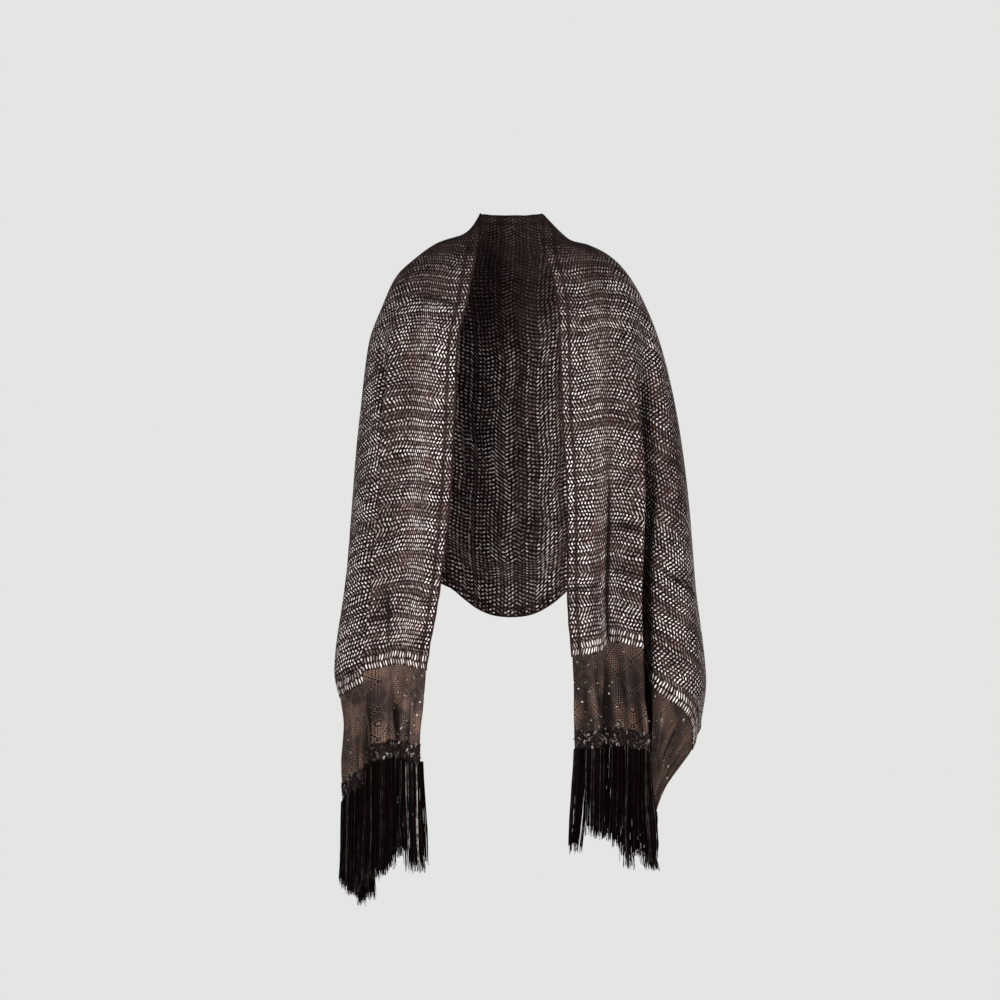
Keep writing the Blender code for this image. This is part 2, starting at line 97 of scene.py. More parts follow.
SECTIONS = rows_of(
    "height back front left right left_edge right_edge",
    (+0.054, 0.062, 0.012, 0.047, 0.048, 0.0465, 0.0475),
    (+0.030, 0.068, 0.036, 0.063, 0.072, 0.047, 0.049),
    (+0.020, 0.072, 0.043, 0.076, 0.082, 0.047, 0.049),
    (+0.010, 0.076, 0.051, 0.108, 0.096, 0.048, 0.049),
    (+0.005, 0.078, 0.054, 0.119, 0.119, 0.049, 0.049),
    (-0.015, 0.086, 0.068, 0.147, 0.157, 0.053, 0.052),
    (-0.045, 0.098, 0.087, 0.179, 0.185, 0.059, 0.062),
    (-0.090, 0.112, 0.107, 0.200, 0.210, 0.067, 0.071),
    (-0.150, 0.122, 0.122, 0.221, 0.232, 0.081, 0.075),
    (-0.260, 0.127, 0.135, 0.232, 0.254, 0.086, 0.079),
    (-0.400, 0.124, 0.140, 0.247, 0.273, 0.093, 0.087),
    (-0.540, 0.120, 0.141, 0.262, 0.285, 0.105, 0.087),
    (-0.660, 0.120, 0.141, 0.274, 0.294, 0.120, 0.094),
    (-0.960, 0.120, 0.140, 0.268, 0.296, 0.128, 0.098),
)
print("the cloth is", CLOTH_END["left"] + CLOTH_END["right"], "by", CLOTH_WIDTH, "m")

# %% Smooth tables
def hermite(xs, ys, lean):
    step = np.diff(xs)

    def at(x):
        x = np.clip(x, xs[0], xs[-1])
        i = np.clip(np.searchsorted(xs, x, side="right") - 1, 0, len(xs) - 2)
        h, t = step[i], (x - xs[i]) / step[i]
        rise = ys[i] * (1 + 2 * t) * (1 - t) ** 2 + ys[i + 1] * t * t * (3 - 2 * t)
        return rise + h * lean[i] * t * (1 - t) ** 2 + h * lean[i + 1] * t * t * (t - 1)

    return at


def smooth_table(xs, ys):
    """A function through the points that never swings past them."""
    xs, ys = np.array(xs, float), np.array(ys, float)
    slope = np.diff(ys) / np.diff(xs)
    lean = np.zeros_like(ys)
    both = slope[:-1] * slope[1:] > 0
    lean[1:-1][both] = (2 * slope[:-1] * slope[1:])[both] / (slope[:-1] + slope[1:])[both]
    lean[0], lean[-1] = slope[0], slope[-1]
    return hermite(xs, ys, lean)


def smooth_pairs(*pairs):
    return smooth_table(*zip(*pairs))


def flowing_table(xs, ys):
    """A function through the points that rounds each of them."""
    xs, ys = np.array(xs, float), np.array(ys, float)
    return hermite(xs, ys, np.gradient(ys, xs))


def section_column(name):
    rows = SECTIONS[::-1]
    return smooth_table([r.height for r in rows], [getattr(r, name) for r in rows])


COLUMN = {name: section_column(name) for name in SECTIONS[0]._fields[1:]}
print("at 0.3 m down the left side is", round(float(COLUMN["left"](-0.3)), 3), "m out")

# %% [markdown]
# ## The large folds
# Below the shoulders the cloth hangs in deep folds. Each row of the tables says where one
# crest or trough stands in plan, at three heights: out from the middle, and back from the
# line of the shoulders. Rounded curves join the rows, so a few numbers shape the whole side.

# %% The tables of folds
FOLD_TOP, MID, LOW = -0.070, -0.300, -0.660
FOOT = {"left": -0.750, "right": -0.880}
# The station, then out and back at MID, at LOW and at FOOT. Where the last two are left
# out, the fold stands at its foot as it does at LOW.
FOLDS = {
    "right": (
        (0.00, 0.000, +0.124, 0.000, +0.114),
        (0.30, 0.053, +0.130, 0.054, +0.128),
        (0.60, 0.106, +0.114, 0.108, +0.104),
        (0.86, 0.150, +0.112, 0.148, +0.124),
        (1.00, 0.172, +0.100, 0.168, +0.106),
        (1.12, 0.182, +0.062, 0.160, +0.048),
        (1.24, 0.224, +0.070, 0.236, +0.100),
        (1.36, 0.220, +0.024, 0.204, +0.030),
        (1.46, 0.261, +0.014, 0.282, +0.072),
        (1.549, 0.264, -0.024, 0.297, -0.008, 0.256, -0.010),
        (1.62, 0.252, -0.064, 0.283, -0.068, 0.220, -0.056),
        (1.69, 0.228, -0.082, 0.226, -0.098, 0.214, -0.094),
        (1.795, 0.198, -0.062, 0.207, -0.040, 0.192, -0.048),
        (1.860, 0.189, -0.076, 0.183, -0.062, 0.178, -0.068),
        (1.965, 0.2025, -0.118, 0.2035, -0.138, 0.210, -0.138),
        (2.20, 0.176, -0.128, 0.181, -0.146, 0.188, -0.146),
        (2.46, 0.145, -0.124, 0.151, -0.124, 0.158, -0.126),
        (2.72, 0.113, -0.131, 0.126, -0.144, 0.132, -0.144),
        (3.00, 0.080, -0.131, 0.094, -0.134, 0.100, -0.134),
    ),
    "left": (
        (0.00, 0.000, +0.124, 0.000, +0.114),
        (0.22, 0.038, +0.128, 0.038, +0.127),
        (0.45, 0.080, +0.119, 0.078, +0.110),
        (0.72, 0.128, +0.114, 0.126, +0.118),
        (0.98, 0.168, +0.098, 0.164, +0.112),
        (1.10, 0.176, +0.062, 0.152, +0.054),
        (1.22, 0.211, +0.074, 0.216, +0.104),
        (1.35, 0.206, +0.032, 0.186, +0.036),
        (1.46, 0.236, +0.036, 0.244, +0.088, 0.232, +0.084),
        (1.566, 0.239, +0.002, 0.222, +0.036, 0.186, +0.040),
        (1.67, 0.237, -0.036, 0.266, -0.022, 0.240, -0.014),
        (1.752, 0.224, -0.068, 0.269, -0.080, 0.255, -0.074),
        (1.815, 0.205, -0.092, 0.224, -0.117, 0.222, -0.112),
        (1.875, 0.186, -0.079, 0.187, -0.068, 0.190, -0.071),
        (1.920, 0.182, -0.088, 0.183, -0.080, 0.186, -0.083),
        (1.98, 0.197, -0.114, 0.217, -0.136, 0.214, -0.136),
        (2.20, 0.176, -0.124, 0.198, -0.143, 0.199, -0.143),
        (2.50, 0.143, -0.124, 0.174, -0.133, 0.177, -0.131),
        (2.75, 0.117, -0.132, 0.152, -0.143, 0.156, -0.142),
        (3.00, 0.087, -0.130, 0.130, -0.133, 0.138, -0.132),
    ),
}
SIGN = {"left": -1.0, "right": 1.0}
print({side: len(rows) for side, rows in FOLDS.items()}, "crests and troughs")

# %% From the flat cut to stations
def ridge_across(along):
    """Where the shoulder line crosses the cloth, seen from the back."""
    return np.clip((along - NECK_RUN) / (SHOULDER_ALONG - NECK_RUN), 0, 1) * SHOULDER_ACROSS


def ridge_along(across):
    """Where the shoulder line crosses the cloth, seen from the front."""
    return NECK_RUN + np.clip(across / SHOULDER_ACROSS, 0, 1) * (SHOULDER_ALONG - NECK_RUN)


def station_and_down(along, across):
    """The station of a place in the flat cut, and how far down the cloth it lies."""
    along, across = np.broadcast_arrays(np.asarray(along, float), np.asarray(across, float))
    out, over = along - SHOULDER_ALONG, across - SHOULDER_ACROSS
    angle = np.arctan2(np.maximum(over, 0), np.maximum(out, 0))
    in_fan = (out > 0) & (over > 0)
    in_front = ~in_fan & (along > ridge_along(across))
    beyond = np.where(in_front, 3 - across / SHOULDER_ACROSS, along / SHOULDER_ALONG)
    station = np.where(in_fan, 2 - angle / (math.pi / 2), beyond)
    straight = np.where(in_front, along - ridge_along(across), across - ridge_across(along))
    slanted = np.hypot(out, over) * (1 - BIAS_SLACK * np.sin(2 * angle) ** 2)
    return station, np.maximum(np.where(in_fan, slanted, straight), 0)


print("a place on the arm has station and fall", station_and_down(0.5, 0.4))

# %% The level sections of one side
STATIONS = np.linspace(0, 3, 481)
TOP, BOTTOM = SECTIONS[0].height, -1.06
DOWNS = np.linspace(0, -BOTTOM, 425)
ARC_STEPS, RIDGE_STEPS = 120, 120
LEAST_SHARE = 0.02  # closer to the neck, a division by the share would run away
SETTLE, SETTLED = 0.06, 1.03  # how fast the cloth settles below the shoulder, and to what
TURN = np.linspace(math.pi / 2, -math.pi / 2, 2 * ARC_STEPS + 1)
CLOSE_UNTIL = SHOULDER_HEIGHT - 0.01  # above this the levels lie closer together
CLOSE_LEVELS = np.linspace(TOP, CLOSE_UNTIL, 130)
LEVELS = np.concatenate([CLOSE_LEVELS, np.linspace(CLOSE_UNTIL, BOTTOM, 121)[1:]])


def lengths_along(points):
    steps = np.linalg.norm(np.diff(points, axis=0), axis=1)
    return np.concatenate([[0], np.cumsum(steps)])


def section_arc(side, z):
    """Points of a level section from centre back to centre front, and their run."""
    power = 2 / SECTION_POWER
    depth = np.where(TURN > 0, COLUMN["back"](z), COLUMN["front"](z))
    x = COLUMN[side](z) * np.abs(np.cos(TURN)) ** power
    y = depth * np.sign(np.sin(TURN)) * np.abs(np.sin(TURN)) ** power
    return x, y, lengths_along(np.stack([x, y], axis=1))


def edge_run(side, z, x, run):
    """How far round the section the cloth's front edge lies."""
    return np.interp(-COLUMN[side + "_edge"](z), -x[ARC_STEPS:], run[ARC_STEPS:])


def shoulder_line(side):
    """The line over the shoulder, from the neck out: its heights and the share it has run."""
    z = np.linspace(TOP, SHOULDER_HEIGHT, RIDGE_STEPS)
    run = lengths_along(np.stack([COLUMN[side](z), z], axis=1))
    x, _, arc = section_arc(side, SHOULDER_HEIGHT)
    front = edge_run(side, SHOULDER_HEIGHT, x, arc) - arc[ARC_STEPS]
    starts = arc[ARC_STEPS] / SHOULDER_ALONG, front / SHOULDER_ACROSS
    return SimpleNamespace(z=z, share=run / run[-1], starts=starts)


def station_runs(side, z, x, run, line):
    """How far round the section the stations 1, 2 and 3 lie at this height."""
    at_side, third = run[ARC_STEPS], edge_run(side, z, x, run)
    share = np.interp(-z, -line.z, line.share)
    if share < 1:
        reached = NECK_RUN + share * (SHOULDER_ALONG - NECK_RUN)
        second = third - (third - at_side) / max(share, LEAST_SHARE)
        return at_side * SHOULDER_ALONG / reached, second, third
    settle = math.exp((z - SHOULDER_HEIGHT) / SETTLE)
    first, width = (SETTLED + settle * (start - SETTLED) for start in line.starts)
    first, width = SHOULDER_ALONG * first, SHOULDER_ACROSS * width
    return min(first, at_side), max(third - width, at_side), third


def level_plans(side, line):
    """Where every station lies in plan, level by level."""
    rows = []
    for z in LEVELS:
        x, y, run = section_arc(side, z)
        marks = [0, *station_runs(side, z, x, run, line)]
        s = np.interp(STATIONS, [0, 1, 2, 3], marks)
        rows.append(np.stack([np.interp(s, run, x), np.interp(s, run, y)], axis=1))
    return np.array(rows)


print(len(LEVELS), "levels of", len(STATIONS), "stations")

# %% Folding the sections into one drape
LINE_POINTS, CROWDING = 260, 1.6  # points down each station, crowded towards the shoulder


def plan_at(plans, heights):
    """The plan place of every station at these heights, one row of heights a station."""
    found = [
        [np.interp(-heights[i], -LEVELS, plans[:, i, k]) for k in (0, 1)]
        for i in range(len(STATIONS))
    ]
    return np.array(found).transpose(0, 2, 1)


def fold_shift(side, plans, heights):
    """How far the folds move every station at these heights."""
    rows = np.array([row if len(row) == 7 else row + row[-2:] for row in FOLDS[side]])
    shifts = []
    for level, column in ((MID, 1), (LOW, 3), (FOOT[side], 5)):
        base = plan_at(plans, np.full((len(STATIONS), 1), level))[:, 0]
        bent = [flowing_table(rows[:, 0], rows[:, column + k])(STATIONS) for k in (0, 1)]
        shifts.append(np.stack(bent, axis=1) - base)
    knots = [-TOP, -FOLD_TOP, -MID, -LOW, -FOOT[side], -BOTTOM]
    total = np.zeros((*heights.shape, 2))
    for i in range(len(STATIONS)):
        for k in (0, 1):
            mid, low, foot = (shift[i, k] for shift in shifts)
            total[i, :, k] = smooth_table(knots, [0, 0, mid, low, foot, foot])(-heights[i])
    return total


def drape_table(side):
    """Points for each station by equal steps down the cloth from the shoulder line."""
    line = shoulder_line(side)
    plans = level_plans(side, line)
    back = np.clip((STATIONS * SHOULDER_ALONG - NECK_RUN) / (SHOULDER_ALONG - NECK_RUN), 0, 1)
    front = np.clip(3 - STATIONS, 0, 1)
    share = np.where(STATIONS < 1, back, np.where(STATIONS > 2, front, 1.0))
    start = np.interp(share, line.share, line.z)
    fall = np.linspace(0, 1, LINE_POINTS) ** CROWDING
    heights = start[:, None] + (BOTTOM - start[:, None]) * fall
    flat = np.concatenate([plan_at(plans, heights), heights[:, :, None]], axis=2)
    folded = flat.copy()
    folded[:, :, :2] += fold_shift(side, plans, heights)
    table = [
        [np.interp(DOWNS, lengths_along(flat[i]), folded[i, :, k]) for k in range(3)]
        for i in range(len(start))
    ]
    return np.array(table).transpose(0, 2, 1)


DRAPE = {side: drape_table(side) for side in SIGN}
LAST_CELL = 0.001  # keeps a place inside the last cell of the table


def hang(side, station, down):
    """The place of a station's line this far down, read between the table's points."""
    station, down = np.broadcast_arrays(np.asarray(station, float), np.asarray(down, float))
    last_a, last_b = len(STATIONS) - 1, len(DOWNS) - 1
    a = np.clip(station / STATIONS[-1] * last_a, 0, last_a - LAST_CELL)
    b = np.clip(down / DOWNS[-1] * last_b, 0, last_b - LAST_CELL)
    i, j = a.astype(int), b.astype(int)
    s, t = (a - i)[..., None], (b - j)[..., None]
    table = DRAPE[side]
    near = table[i, j] * (1 - t) + table[i, j + 1] * t
    far = table[i + 1, j] * (1 - t) + table[i + 1, j + 1] * t
    return (near * (1 - s) + far * s) * np.array([SIGN[side], 1, 1])


print("the drape is worked out for", len(STATIONS), "lines on each side")

# %% The hems
HEM_DROP = {  # pairs of a place across the cloth and the dip of the hem there
    "left": smooth_pairs(
        (0, 0.020), (0.02, 0.017), (0.06, 0.018), (0.10, 0.0195), (0.118, 0.022), (0.15, 0.020),
        (0.20, 0.012), (0.28, 0.004), (0.33, 0.010), (0.37, 0.014), (0.42, 0.005), (0.47, 0),
    ),
    "right": smooth_pairs(
        (0, 0.0185), (0.02, 0.017), (0.04, 0.0155), (0.052, 0.0150), (0.063, 0.0025),
        (0.08, 0.0025), (0.10, 0.0045), (0.115, 0.004), (0.14, 0),
    ),
}
HEM_FLARE = {
    "left": smooth_pairs((0, 0), (CLOTH_WIDTH, 0)),
    "right": smooth_pairs(
        (0.45, 0), (0.50, 0.002), (0.555, 0.010), (0.60, 0.014), (CLOTH_WIDTH, 0.014)
    ),
}
DROP_FROM, DROP_BLEND = 0.40, 1.5
LACE_LENGTH = 0.134  # of what shows below the woven end; the hem's dip fades out over it


def worn(side, along, across):
    """Where a place of the flat cut lies when worn; the hem dips and flares in places."""
    end = CLOTH_END[side]
    above, below = (along - DROP_FROM) / (end - DROP_FROM), 1 - (along - end) / LACE_LENGTH
    near_hem = np.clip(np.minimum(above, below), 0, 1) ** DROP_BLEND
    dip, flare = HEM_DROP[side](across) * near_hem, HEM_FLARE[side](across) * near_hem
    flare = flare[..., None] * np.array([SIGN[side], 0, 0])
    return hang(side, *station_and_down(along + dip, across)) + flare


print("the left hem's front corner is at", np.round(worn("left", CLOTH_END["left"], 0), 3))

# %% [markdown]
# ## The small creases
# Cloth keeps the memory of every time it was folded, gathered or pulled. These creases are
# listed one by one, each with its own length, width and depth, because an even ripple looks
# like corrugated iron. A crease is a soft trough with faint raised shoulders, and it fades out at
# both ends. A few dozen faint ones, from a fixed seed, break up what is left.

# %% The table of creases
CREASE = "along across turn reach width depth bow"
CREASES = {
    "right": rows_of(
        CREASE,
        (0.705, 0.0640, 0, 0.240, 0.0034, -0.0105, 0.000),
        (0.430, 0.067, 1, 0.110, 0.0080, -0.0022, -0.002),
        (0.622, 0.090, 92, 0.034, 0.0042, -0.0066, -0.002),
        (0.545, 0.091, 97, 0.026, 0.0060, -0.0016, -0.002),
        (0.694, 0.092, 88, 0.036, 0.0046, -0.0072, 0.004),
        (0.706, 0.028, 91, 0.042, 0.0044, -0.0070, 0.004),
        (0.505, 0.030, 88, 0.028, 0.0090, -0.0016, 0.002),
        (0.742, 0.094, 93, 0.022, 0.0070, -0.0020, 0.001),
        (0.300, 0.036, 6, 0.100, 0.0110, -0.0026, 0.003),
        (0.250, 0.086, -9, 0.085, 0.0120, -0.0024, -0.003),
        (0.145, 0.030, 24, 0.034, 0.0070, -0.0034, 0.001),
        (0.200, 0.062, 70, 0.040, 0.0080, -0.0020, 0.004),
        (0.465, 0.167, 9, 0.170, 0.0100, -0.0040, 0.003),
        (0.532, 0.284, 21, 0.180, 0.0130, -0.0042, -0.006),
        (0.372, 0.262, 38, 0.120, 0.0110, -0.0030, 0.004),
        (0.440, 0.437, 49, 0.170, 0.0150, -0.0050, 0.008),
        (0.304, 0.416, 68, 0.150, 0.0120, -0.0040, -0.005),
        (0.239, 0.470, 81, 0.130, 0.0140, -0.0038, 0.004),
        (0.520, 0.330, 116, 0.055, 0.0080, -0.0028, 0.006),
        (0.629, 0.425, 95, 0.074, 0.0044, -0.0085, 0.001),
        (0.700, 0.470, 12, 0.080, 0.0100, -0.0036, -0.003),
        (0.600, 0.540, 30, 0.100, 0.0120, -0.0040, 0.006),
        (0.045, 0.330, 90, 0.210, 0.0130, -0.0044, 0.005),
        (0.118, 0.400, 86, 0.150, 0.0150, -0.0048, -0.006),
        (0.075, 0.120, 62, 0.070, 0.0100, -0.0030, 0.004),
        (0.028, 0.052, 8, 0.050, 0.0080, -0.0028, 0.002),
    ),
    "left": rows_of(
        CREASE,
        (0.757, 0.0885, -7, 0.080, 0.0046, -0.0062, 0.001),
        (0.700, 0.040, -2, 0.110, 0.0080, -0.0022, 0.002),
        (0.380, 0.080, 2, 0.140, 0.0100, -0.0026, -0.003),
        (0.270, 0.042, 94, 0.064, 0.0052, -0.0070, 0.003),
        (0.300, 0.030, 84, 0.024, 0.0075, -0.0016, -0.002),
        (0.610, 0.088, 96, 0.030, 0.0065, -0.0020, 0.002),
        (0.500, 0.050, 86, 0.036, 0.0080, -0.0016, -0.003),
        (0.770, 0.075, 99, 0.030, 0.0060, -0.0018, 0.002),
        (0.150, 0.034, 30, 0.036, 0.0070, -0.0036, -0.001),
        (0.190, 0.075, 55, 0.048, 0.0100, -0.0028, 0.005),
        (0.480, 0.150, 5, 0.160, 0.0090, -0.0038, -0.003),
        (0.560, 0.240, 17, 0.170, 0.0120, -0.0042, 0.005),
        (0.400, 0.250, 32, 0.130, 0.0130, -0.0036, -0.004),
        (0.330, 0.300, 52, 0.110, 0.0100, -0.0030, 0.005),
        (0.470, 0.440, 46, 0.180, 0.0150, -0.0050, -0.007),
        (0.290, 0.450, 72, 0.150, 0.0130, -0.0042, 0.006),
        (0.232, 0.420, 84, 0.140, 0.0110, -0.0034, -0.004),
        (0.560, 0.380, 122, 0.050, 0.0075, -0.0030, -0.005),
        (0.690, 0.330, 75, 0.050, 0.0050, -0.0030, 0.003),
        (0.730, 0.500, 10, 0.070, 0.0100, -0.0034, 0.003),
        (0.610, 0.560, 34, 0.090, 0.0120, -0.0038, -0.006),
        (0.052, 0.360, 92, 0.190, 0.0140, -0.0042, -0.005),
        (0.126, 0.330, 84, 0.160, 0.0120, -0.0046, 0.005),
        (0.090, 0.140, 70, 0.080, 0.0110, -0.0032, -0.004),
        (0.036, 0.070, 20, 0.060, 0.0080, -0.0026, 0.002),
    ),
}
print({side: len(rows) for side, rows in CREASES.items()}, "creases set by hand")

# %% The height of the creases over the cloth
FAINT_CREASES, FAINT_SCATTER = 46, 24
FAINT_FROM = 0.02
FAINT_SPANS = ((0.02, 0.07), (0.005, 0.010), (-0.0014, 0.0009), (-0.004, 0.004))
FAINT_SEED = {"left": 5, "right": 8}
RAISED = 0.42  # the shoulders beside a crease, as a share of its depth


def crease_height(rows, along, across):
    """How far the creases lift or sink the cloth, at places of the flat cut."""
    total = np.zeros(np.broadcast(along, across).shape)
    for r in rows:
        turn = math.radians(r.turn)
        out, over = along - r.along, across - r.across
        run = (out * math.cos(turn) + over * math.sin(turn)) / r.reach
        off = over * math.cos(turn) - out * math.sin(turn) - r.bow * run * run
        near = (off / r.width) ** 2
        fade = np.cos(np.clip(run, -1, 1) * math.pi / 2) ** 2
        total += r.depth * fade * (np.exp(-near) - RAISED * np.exp(-near / 4))
    return total


def faint_creases(side, seed):
    """Shallow creases that roughly follow the fall of the cloth from the shoulder."""
    draw = np.random.default_rng(seed)
    rows = []
    for _ in range(FAINT_CREASES):
        ends = (CLOTH_END[side], CLOTH_WIDTH)
        along, across = (draw.uniform(FAINT_FROM, end) for end in ends)
        over, out = max(across - SHOULDER_ACROSS, 0), max(along - SHOULDER_ALONG, 0.001)
        turn = math.degrees(math.atan2(over, out)) + draw.normal(0, FAINT_SCATTER)
        rows.append((along, across, turn, *(draw.uniform(*span) for span in FAINT_SPANS)))
    return rows_of(CREASE, *rows)


ALL_CREASES = {side: CREASES[side] + faint_creases(side, FAINT_SEED[side]) for side in SIGN}
print(sum(len(rows) for rows in ALL_CREASES.values()), "creases in all")

# %% [markdown]
# ## The woven cloth
# The real one is a single piece, so it is made as a single sheet: a grid over the flat cut,
# each point of it put where the drape says. Its map (UV) is measured in metres on the worn
# sheet, so that a pattern follows the weave through every fold and is never stretched. The
# grid is finer over the arms and the front. Solidify gives it its thickness at the end.

# %% Helpers for sheets
CUT_MAP = "cut"  # metres along the weave by metres across it, measured on the worn sheet
FLAT_MAP = "flat"  # the same place in the flat cut


def outward(points):
    """Unit vectors out of a grid of points."""
    normal = np.cross(np.gradient(points, axis=0), np.gradient(points, axis=1))
    return normal / np.maximum(np.linalg.norm(normal, axis=-1, keepdims=True), 1e-12)


def sheet_mesh(name, points, maps):
    """A grid of quads that face out, with its maps."""
    index = np.arange(points.shape[0] * points.shape[1]).reshape(points.shape[:2])
    corners = [index[:-1, :-1], index[1:, :-1], index[1:, 1:], index[:-1, 1:]]
    faces = np.stack(corners, axis=-1).reshape(-1, 4)
    mesh = bpy.data.meshes.new(name)
    mesh.from_pydata(points.reshape(-1, 3).tolist(), [], faces.tolist())
    for title, places in maps.items():
        layer = mesh.uv_layers.new(name=title)
        layer.data.foreach_set("uv", places.reshape(-1, 2)[faces.ravel()].ravel())
    return mesh


def store(mesh, name, kind, values):
    """Keeps a value on each point of a mesh, for the nodes to read."""
    kept = mesh.attributes.new(name, kind, "POINT").data
    field = "vector" if kind == "FLOAT_VECTOR" else "value"
    kept.foreach_set(field, np.asarray(values, float).ravel())


def place_piece(name, mesh, material):
    """Puts a mesh into the scene as an object at the origin."""
    piece = bpy.data.objects.new(name, mesh)
    bpy.context.scene.collection.objects.link(piece)
    if material:
        mesh.materials.append(material)
    return piece


def make_real(piece):
    """Turns what the modifiers make of a piece into its own plain mesh."""
    graph = bpy.context.evaluated_depsgraph_get()
    made = bpy.data.meshes.new_from_object(
        piece.evaluated_get(graph), preserve_all_data_layers=True, depsgraph=graph
    )
    piece.modifiers.clear()
    piece.data = made
    made.shade_smooth()
    return sum(len(face.vertices) - 2 for face in made.polygons)


def give_thickness(piece, thickness):
    wall = piece.modifiers.new("thickness", "SOLIDIFY")
    wall.thickness, wall.offset = thickness, 0
    return make_real(piece)


print("maps of a sheet:", CUT_MAP, "and", FLAT_MAP)

# %% The lines of the grid
UNFOLDED = CLOTH_END["left"] + CLOTH_END["right"]
FINE_GRID, COARSE_GRID = 0.0046, 0.0080


def steps_between(*marks):
    """Grid lines from pairs of a start and a spacing, ending at the last start."""
    lines = [marks[0][0]]
    for (first, spacing), (last, _) in zip(marks, marks[1:]):
        lines += list(np.linspace(first, last, math.ceil((last - first) / spacing) + 1)[1:])
    return np.array(lines)


along_lines = steps_between(
    (-CLOTH_END["left"], FINE_GRID),
    (-SHOULDER_ALONG, COARSE_GRID),
    (0.0, COARSE_GRID),
    (SHOULDER_ALONG, FINE_GRID),
    (CLOTH_END["right"], FINE_GRID),
)
across_lines = steps_between(
    (0.0, 0.0040),
    (0.052, 0.0019),
    (0.076, 0.0038),
    (0.125, 0.0046),
    (0.45, 0.0064),
    (CLOTH_WIDTH, 0.0064),
)
print("the grid has", len(along_lines), "by", len(across_lines), "lines")

# %% The sheet of woven cloth
EDGE_PUCKER, PUCKER_WIDTH, PUCKER_WAVES = 0.0008, 0.008, ((210, 0), (133, 1.3))
SHARP = 0.0062  # creases narrower than this get painted shade along their bottoms
# how deep a sharp crease must be for its painted shade to be full
FULL_SHADE_DEPTH = 0.0022
TURNED_UNDER = {  # how much of the front edge is rolled in, out of sight
    "left": smooth_pairs((0, 0), (0.20, 0.012), (0.35, 0.012), (0.55, 0.016), (0.824, 0.034)),
    "right": smooth_pairs((0, 0), (0.30, 0.006), (0.803, 0.010)),
}
dense_lines = np.linspace(0, CLOTH_WIDTH, 1200)
rows, heights, crease_shades, runs = [], [], [], []
for along in along_lines:
    side = "left" if along < 0 else "right"
    rows.append(worn(side, abs(along), across_lines))
    heights.append(crease_height(ALL_CREASES[side], abs(along), across_lines))
    # painted shade along the bottoms of the sharp creases, kept on the mesh for the finish
    sharp = [r for r in CREASES[side] if r.width < SHARP]
    crease_shades.append(-crease_height(sharp, abs(along), across_lines) / FULL_SHADE_DEPTH)
    run = lengths_along(worn(side, abs(along), dense_lines)) + TURNED_UNDER[side](abs(along))
    runs.append(np.interp(across_lines, dense_lines, run))
cloth_points, cloth_heights, cloth_runs = np.array(rows), np.array(heights), np.array(runs)
from_edge = np.minimum(across_lines, CLOTH_WIDTH - across_lines)
pucker = EDGE_PUCKER * np.exp(-from_edge / PUCKER_WIDTH)
waves = [np.sin(along_lines * number + phase) for number, phase in PUCKER_WAVES]
cloth_heights += sum(waves)[:, None] * pucker[None, :]
cloth_points += outward(cloth_points) * cloth_heights[..., None]
along_map, across_map = np.meshgrid(along_lines + CLOTH_END["left"], across_lines, indexing="ij")
cloth_maps = {
    CUT_MAP: np.stack([along_map, cloth_runs], axis=-1),
    FLAT_MAP: np.stack([along_map, across_map], axis=-1),
}
cloth_mesh = sheet_mesh("woven cloth", cloth_points, cloth_maps)
store(cloth_mesh, "painted_shade", "FLOAT", np.clip(np.array(crease_shades), 0, 1))
print("the sheet has", len(cloth_mesh.polygons), "faces")

# %% [markdown]
# ## Tools for finishes
# A finish is a small machine of nodes. Long sums are hard to read as nodes, so here an output
# of a node can be added to and multiplied by others, like a number. Each sign makes one node
# and gives its output back. The other helpers name the nodes that every finish needs.

# %% Values that can be reckoned with
class Value:
    """An output of a node, which works like a number."""

    def __init__(self, socket):
        self.socket, self.tree = socket, socket.id_data

    def __abs__(self):
        return calc("ABSOLUTE", self)


def feed(socket, value):
    if isinstance(value, Value):
        value.tree.links.new(value.socket, socket)
    else:
        socket.default_value = value


def add_node(tree, kind, values=(), out=0, **settings):
    """Adds a node, sets and feeds it, and gives one of its outputs."""
    node = tree.nodes.new(kind)
    for name, value in settings.items():
        setattr(node, name, value)
    for key, value in dict(values).items():
        feed(node.inputs[key], value)
    return Value(node.outputs[out])


def every_output(value):
    """All outputs of the node that a value comes from, by name."""
    return {socket.name: Value(socket) for socket in value.socket.node.outputs}


def tree_of(terms):
    return next(term.tree for term in terms if isinstance(term, Value))


def calc(operation, *terms):
    return add_node(tree_of(terms), "ShaderNodeMath", enumerate(terms), operation=operation)


def both_ways(operation):
    """What a sign does with a value before it, and with a value behind it."""
    return (
        lambda value, other: calc(operation, value, other),
        lambda value, other: calc(operation, other, value),
    )


SIGNS = {"add": "ADD", "sub": "SUBTRACT", "mul": "MULTIPLY", "truediv": "DIVIDE"}
for sign, operation in SIGNS.items():
    before, behind = both_ways(operation)
    setattr(Value, f"__{sign}__", before)
    setattr(Value, f"__r{sign}__", behind)
print("values know", len(SIGNS), "signs")

# %% The nodes that finishes share
def whole(value):
    return calc("FLOOR", value)


def fract(value):
    return calc("FRACT", value)


def larger(first, second):
    return calc("MAXIMUM", first, second)


def smaller(first, second):
    return calc("MINIMUM", first, second)


def distance(first, second):
    return calc("SQRT", first * first + second * second)


def remap(value, low, high, to_low=0.0, to_high=1.0):
    """Leads a value smoothly from one range to another."""
    values = enumerate((value, low, high, to_low, to_high))
    return add_node(value.tree, "ShaderNodeMapRange", values, interpolation_type="SMOOTHSTEP")


def blend(share, first, second, kind="RGBA"):
    """A mix of two colours, or of two numbers when the kind is FLOAT."""
    places, out = ((0, 6, 7), 2) if kind == "RGBA" else ((0, 2, 3), 0)
    values = zip(places, (share, first, second))
    return add_node(share.tree, "ShaderNodeMix", values, out, data_type=kind)


def noise(place, scale, detail=2.0, out="Fac"):
    values = {"Vector": place, "Scale": scale, "Detail": detail}
    return add_node(place.tree, "ShaderNodeTexNoise", values, out)


